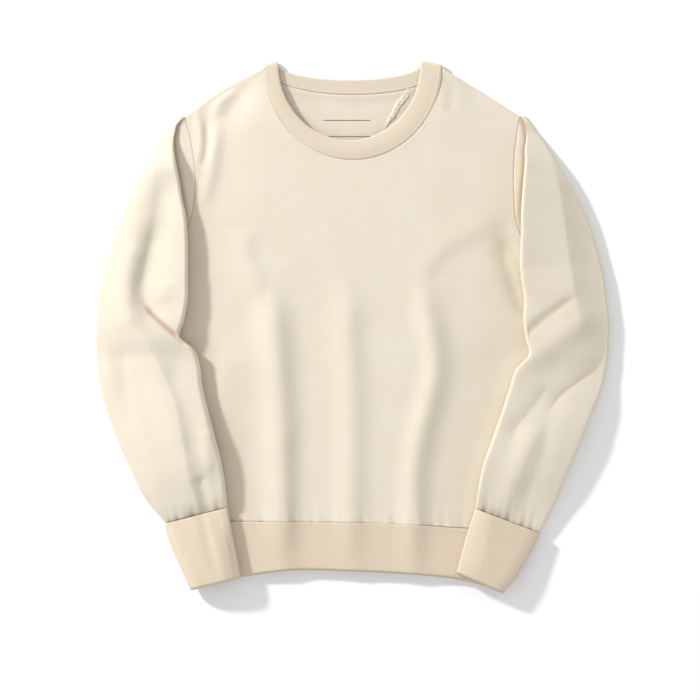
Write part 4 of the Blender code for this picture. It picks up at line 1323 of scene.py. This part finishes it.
def make_band(name, middle, wall, material):
    """A ribbed band round its middle surface, whose rows run from its seam to its free edge.
    The wall thins at the seam and rounds over at the free edge, and ribs stand out of both
    faces: a sine round the band, cut off below."""
    loop = np.linalg.norm(np.roll(middle[0], -1, axis=0) - middle[0], axis=1).sum()
    columns = int(round(loop / RIB_PITCH)) * RIB_COLUMNS
    rows = []
    for row in middle:
        closed = np.concatenate([row, row[:1]])
        rows.append(at_shares(closed, np.linspace(0, 1, columns + 1))[:-1])
    rows = np.array(rows)
    deep = np.linalg.norm(rows[-1] - rows[0], axis=1).mean()
    at = (1 - np.cos(np.linspace(0, np.pi, BAND_ROWS * 2))) / 2
    grid = through(np.linspace(0, 1, len(rows)), rows, at)
    normal = normals(grid, ring=True)
    start = 1 - wall / 2 / deep
    over = np.clip((at - start) / (1 - start), 0, 1)
    thick = BAND_THIN + (1 - BAND_THIN) * smooth(at * deep / BAND_THICK_RUN)
    half = wall / 2 * np.sqrt(1 - over**2) * thick + mound(at * deep, *BAND_BEAD)
    wave = np.cos(2 * np.pi * np.arange(columns) / RIB_COLUMNS)
    rib = np.clip(RIB_FULL + RIB_FULL * wave, 0, 1)
    fade = smooth(at * deep / RIB_START)
    raised = RIB_DEPTH * (rib[None] - 1) * fade[:, None] * (half / (wall / 2))[:, None]
    offset = (half[:, None] + raised)[..., None] * normal
    points = np.concatenate([grid + offset, (grid - offset)[-2::-1]])
    points[..., 2] = np.maximum(points[..., 2], 0)
    run = np.concatenate([at, at[-2::-1]]) * deep
    fields = dict(
        rib=np.broadcast_to(rib[None], points.shape[:2]),
        run=np.broadcast_to(run[:, None], points.shape[:2]),
    )
    return make_loop(name, points, material, fields)


def neckband_middle():
    """Middle of the neckband's wall, as rows from its seam edge to its free edge. It runs along
    the front, turns under at the left, comes back along the back and turns up at the right."""
    front_angles = np.linspace(0, 180, BAND_FRONT_POINTS)
    back_angles = np.linspace(180, 0, NECK_POINTS)
    rows = []
    for share in np.linspace(0, 1, BAND_LINES):
        front, back = (
            (1 - share) * neck_curve(SEAM_EDGE, angles, half)
            + share * neck_curve(FREE_EDGE, angles, half)
            for angles, half in ((front_angles, "front"), (back_angles, "back"))
        )
        rise = np.sin(np.radians(front_angles)) ** BAND_FULL
        low = NECK_POINT_TOP - FLEECE / 2
        crown = BAND_CROWN * np.sin(np.pi * share) - share * BAND_LEAN
        front_z = low + (BAND_RISE - BAND_RIB / 2 - low) * rise + crown * rise
        middle_z, radius = (low + BAND_RIB / 2) / 2, (low - BAND_RIB / 2) / 2
        turns = []
        for corner, sign in ((front[-1], 1), (front[0], -1)):
            angle = sign * np.radians(np.linspace(BAND_TURN, -BAND_TURN, TURN_POINTS))
            out = np.array([sign, 1]) * BAND_TURN_WAY
            flat = corner + np.cos(angle)[:, None] * radius * out
            turns.append(with_height(flat, middle_z + radius * np.sin(angle)))
        front, back = with_height(front, front_z), with_height(back, BAND_RIB / 2)
        rows.append(np.concatenate([front, turns[0], back, turns[1]]))
    rows = np.array(rows)
    step = rows[1] - rows[0]
    rows[0] += BAND_SEAM_GAP * step / np.linalg.norm(step, axis=1)[:, None]
    return rows


def hem_middle():
    """Middle of the hem band's wall, as rows from its seam with the body to its free edge: along
    the front, round the left end, back along the surface below and round the right end."""
    turn = (HEM_TOP_EDGE - HEM_RIB) / 2
    rows = []
    for share in np.linspace(0, 1, HEM_BAND_LINES):
        ends = {}
        for side, x in HEM_CORNER.items():
            y = (1 - share) * hem_seam_at(x)
            y += share * np.interp(x, HEM_LINES["x"], HEM_LINES["bottom"])
            ends[side] = np.sign(x) * (hem_half_width(y, side) - turn - HEM_RIB / 2)
        x = np.linspace(ends["right"], ends["left"], HEM_POINTS)
        top = np.stack([x, hem_top(x, hem_line(share, x)) - HEM_RIB / 2], axis=1)
        left = turn_points((ends["left"], HEM_TOP_EDGE / 2), turn, 90, -90)
        right = turn_points((ends["right"], HEM_TOP_EDGE / 2), turn, 270, 90)
        low = np.stack([x[::-1], np.full(len(x), HEM_RIB / 2)], axis=1)
        loop = np.concatenate([top[1:-1], left, low[1:-1], right])
        y = hem_line(share, loop[:, 0])
        high = HEM_TOP_EDGE - HEM_RIB / 2
        y -= LOWER_REACH * share**4 * smooth((high - loop[:, 1]) / (high - HEM_RIB / 2))
        rows.append(np.stack([loop[:, 0], y, loop[:, 1]], axis=1))
    return np.array(rows)


def cuff_middle(side):
    """Middle of a cuff's wall, as rows from its seam with the sleeve to its free edge."""
    rows = SLEEVES[side]["cuff"]
    sections = [placed(*cuff_section(side, station(rows, i))) for i in range(len(rows["puff"]))]
    middle = np.array(sections)[..., :3]
    beyond = (middle[-1] - middle[-2])[:, :2]
    beyond *= LOWER_REACH / np.linalg.norm(beyond, axis=1)[:, None]
    level = middle[-1, :, 2]
    low = np.clip((level.mean() - level) / (level.mean() - level.min()), 0, 1)
    middle[-1, :, :2] += smooth(low)[:, None] * beyond
    return middle - np.array([0, CUFF_SEAM_GAP, 0])


# ---- stitching ---------------------------------------------------------------------------------

def make_stitches(name, path, material):
    """A row of stitches along a path: each a short thread, six-sided, whose height and thickness
    are half a sine along it, so that its ends dive into the cloth."""
    places = lengths_along(path)
    step = STITCH_LENGTH + STITCH_GAP
    count = int(places[-1] // step)
    starts = (np.arange(count) + 0.5) * step
    share = np.linspace(0, 1, STITCH_RINGS)
    at = starts[:, None] + share[None] * STITCH_LENGTH
    centre = np.stack([np.interp(at, places, column) for column in path.T], axis=-1)
    way = np.gradient(centre, axis=1)
    way /= np.linalg.norm(way, axis=2)[..., None]
    up = np.array([0, 0, 1.0]) - way * way[..., 2:]
    up /= np.linalg.norm(up, axis=2)[..., None]
    beside = np.cross(way, up)
    humped = np.sin(np.pi * share)
    centre = centre + up * (STITCH_THICK * (STITCH_RISE * humped - STITCH_SINK))[None, :, None]
    thick = STITCH_THICK * (STITCH_END + (1 - STITCH_END) * humped)[None, :, None, None]
    angle = 2 * np.pi * np.arange(STITCH_SIDES)[:, None] / STITCH_SIDES
    around = np.cos(angle) * beside[:, :, None] + np.sin(angle) * up[:, :, None]
    points = centre[:, :, None] + thick * around
    index = np.arange(points.size // 3).reshape(points.shape[:3])
    index = np.concatenate([index, index[:, :, :1]], axis=2)
    sides_of = np.stack([
        index[:, :-1, :-1], index[:, 1:, :-1], index[:, 1:, 1:], index[:, :-1, 1:]
    ], axis=-1).reshape(-1, 4)
    ends = [index[:, 0, [0, 1, 2, 3]], index[:, 0, [0, 3, 4, 5]],
            index[:, -1, [3, 2, 1, 0]], index[:, -1, [5, 4, 3, 0]]]
    faces = np.concatenate([sides_of, *ends])
    return make_mesh(name, points.reshape(-1, 3), faces, material)


def back_neck_path(below):
    """A line on the back, a little below its seam with the neckband."""
    line = neck_curve(SEAM_EDGE, np.linspace(*BACK_STITCH_ENDS, BACK_LINE_POINTS), "back")
    height = FLEECE + mound(below, ALLOWANCE, 0.0, ALLOWANCE_REACH)
    return with_height(line - np.array([0, below]), height)


def make_inner_allowance(material):
    """The puckered allowance of a shoulder seam, which shows inside the neck: a strip whose
    height is a half ellipse across it, with slanting ripples along it."""
    count, columns = STRIP_POINTS
    middle = rounded(np.array(STRIP_LINE, float), count)
    way = np.gradient(middle, axis=0)
    way /= np.linalg.norm(way, axis=1)[:, None]
    beside = np.stack([-way[:, 1], way[:, 0]], axis=1)
    along = lengths_along(middle)[:, None]
    across = np.linspace(-1, 1, columns)[None]
    ends = smooth((along[-1] - along) / STRIP_END)
    wide = STRIP_HALF + STRIP_WIDER * (1 - along / along[-1])
    half = wide * (STRIP_END_WIDE + (1 - STRIP_END_WIDE) * ends)
    aside = half * across + STRIP_SWAY[0] * np.sin(along / STRIP_SWAY[1])
    flat = middle[:, None] + aside[..., None] * beside[:, None]
    round_up = np.sqrt(np.clip(1 - across**2, 0, 1))
    ripple = STRIP_RIPPLE * sum(
        np.sin(along / length + slant * across) for length, slant in STRIP_RIPPLES
    )
    raised = (STRIP_HEIGHT + ripple + mound(across, *STRIP_GROOVE)) * round_up
    height = FLEECE + STRIP_GAP + raised * (STRIP_END_HIGH + (1 - STRIP_END_HIGH) * ends)
    upper, lower = with_height(flat, height), with_height(flat, FLEECE - STRIP_SINK)
    return make_wall("neck_allowance", upper, lower, material)


def hem_stitch_path(above):
    """A line on the front, a little above its seam with the hem band."""
    x = np.linspace(*HEM_STITCH_ENDS, HEM_LINE_POINTS)
    y = read(HEM_LINES, "x", "seam", x) + above
    gathers = wander(x, *HEM_GATHERS) * math.exp(-above / GATHER_REACH)
    return np.stack([x, y, front_top(x, y) + gathers], axis=1)


# ---- put together ------------------------------------------------------------------------------

def wear(piece, node):
    """Hangs a cloth piece on the root and hides the solid that it replaces."""
    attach(piece, "root")
    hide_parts(node)


def make_garment():
    """All the pieces, from the lowest one up."""
    fleece = fleece_finish("cream_fleece_cloth")
    inside = back_finish("cream_fleece_back")
    rib = rib_finish("beige_rib_knit", RIB, RIB_PAINTED_SHADE)
    # RIB is painted here as the shade between the neckband's ribs
    neck_rib = rib_finish("beige_neck_rib_knit", NECK_RIB, RIB)
    thread = thread_finish("seam_thread")
    back = make_back(inside)
    wear(back, "back_panel")
    front = make_front(fleece)
    wear(front, "front_panel")
    neckband = make_band("neckband_knit", neckband_middle(), BAND_RIB, neck_rib)
    wear(neckband, "neckband")
    hem = make_band("hem_band_knit", hem_middle(), HEM_RIB, rib)
    wear(hem, "hem_band")
    for side in SLEEVES:
        sleeve = make_sleeve(side, fleece)
        wear(sleeve, "sleeve_" + side)
        cuff = make_band("cuff_" + side + "_knit", cuff_middle(side), CUFF_RIB, rib)
        wear(cuff, "cuff_" + side)
    sewing = [
        make_stitches(f"hem_stitches_{number}", hem_stitch_path(above), thread)
        for number, above in enumerate(HEM_STITCH_ROWS)
    ]
    sewing.append(make_stitches("back_neck_stitches", back_neck_path(BACK_STITCHES), thread))
    sewing.append(make_inner_allowance(fleece))
    for piece in sewing:
        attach(piece, "root")


def make_floor():
    """A wide square just below the garment."""
    mesh = bpy.data.meshes.new("floor")
    corners = [
        (x * FLOOR_REACH, y * FLOOR_REACH, -FLOOR_DROP)
        for x, y in ((-1, -1), (1, -1), (1, 1), (-1, 1))
    ]
    mesh.from_pydata(corners, [], [(0, 1, 2, 3)])
    mesh.materials.append(table_finish("white_table"))
    link("floor", mesh)


def make_camera():
    """Straight above the garment, with the photograph's frame."""
    data = bpy.data.cameras.new("camera")
    data.lens = LENS
    data.sensor_width = SENSOR
    camera = link("camera", data)
    wide = PICTURE_PX * MM_PER_PX * MM
    middle_x = (PICTURE_PX / 2 - PICTURE_MIDDLE[0]) * MM_PER_PX * MM
    middle_y = (PICTURE_MIDDLE[1] - PICTURE_PX / 2) * MM_PER_PX * MM
    camera.location = (middle_x, middle_y, wide * LENS / SENSOR)
    data.clip_start, data.clip_end = 0.1, 50.0
    bpy.context.scene.camera = camera


def make_light():
    """A low key light from the upper left, and an even sky for the shadows."""
    data = bpy.data.lights.new("key", "AREA")
    data.shape = "DISK"
    data.size = KEY_SIZE
    data.energy = KEY_POWER
    data.color = KEY_COLOUR
    key = link("key", data)
    key.location = KEY_WAY * KEY_DISTANCE
    key.rotation_euler = KEY_WAY.to_track_quat("Z", "Y").to_euler()
    world = bpy.data.worlds.new("studio")
    world.use_nodes = True
    shade = world.node_tree.nodes["Background"]
    shade.inputs["Color"].default_value = SKY_COLOUR
    shade.inputs["Strength"].default_value = SKY
    bpy.context.scene.world = world
    bpy.context.scene.view_settings.view_transform = "Standard"
    bpy.context.scene.view_settings.look = "None"


make_camera()
make_garment()
make_floor()
make_light()
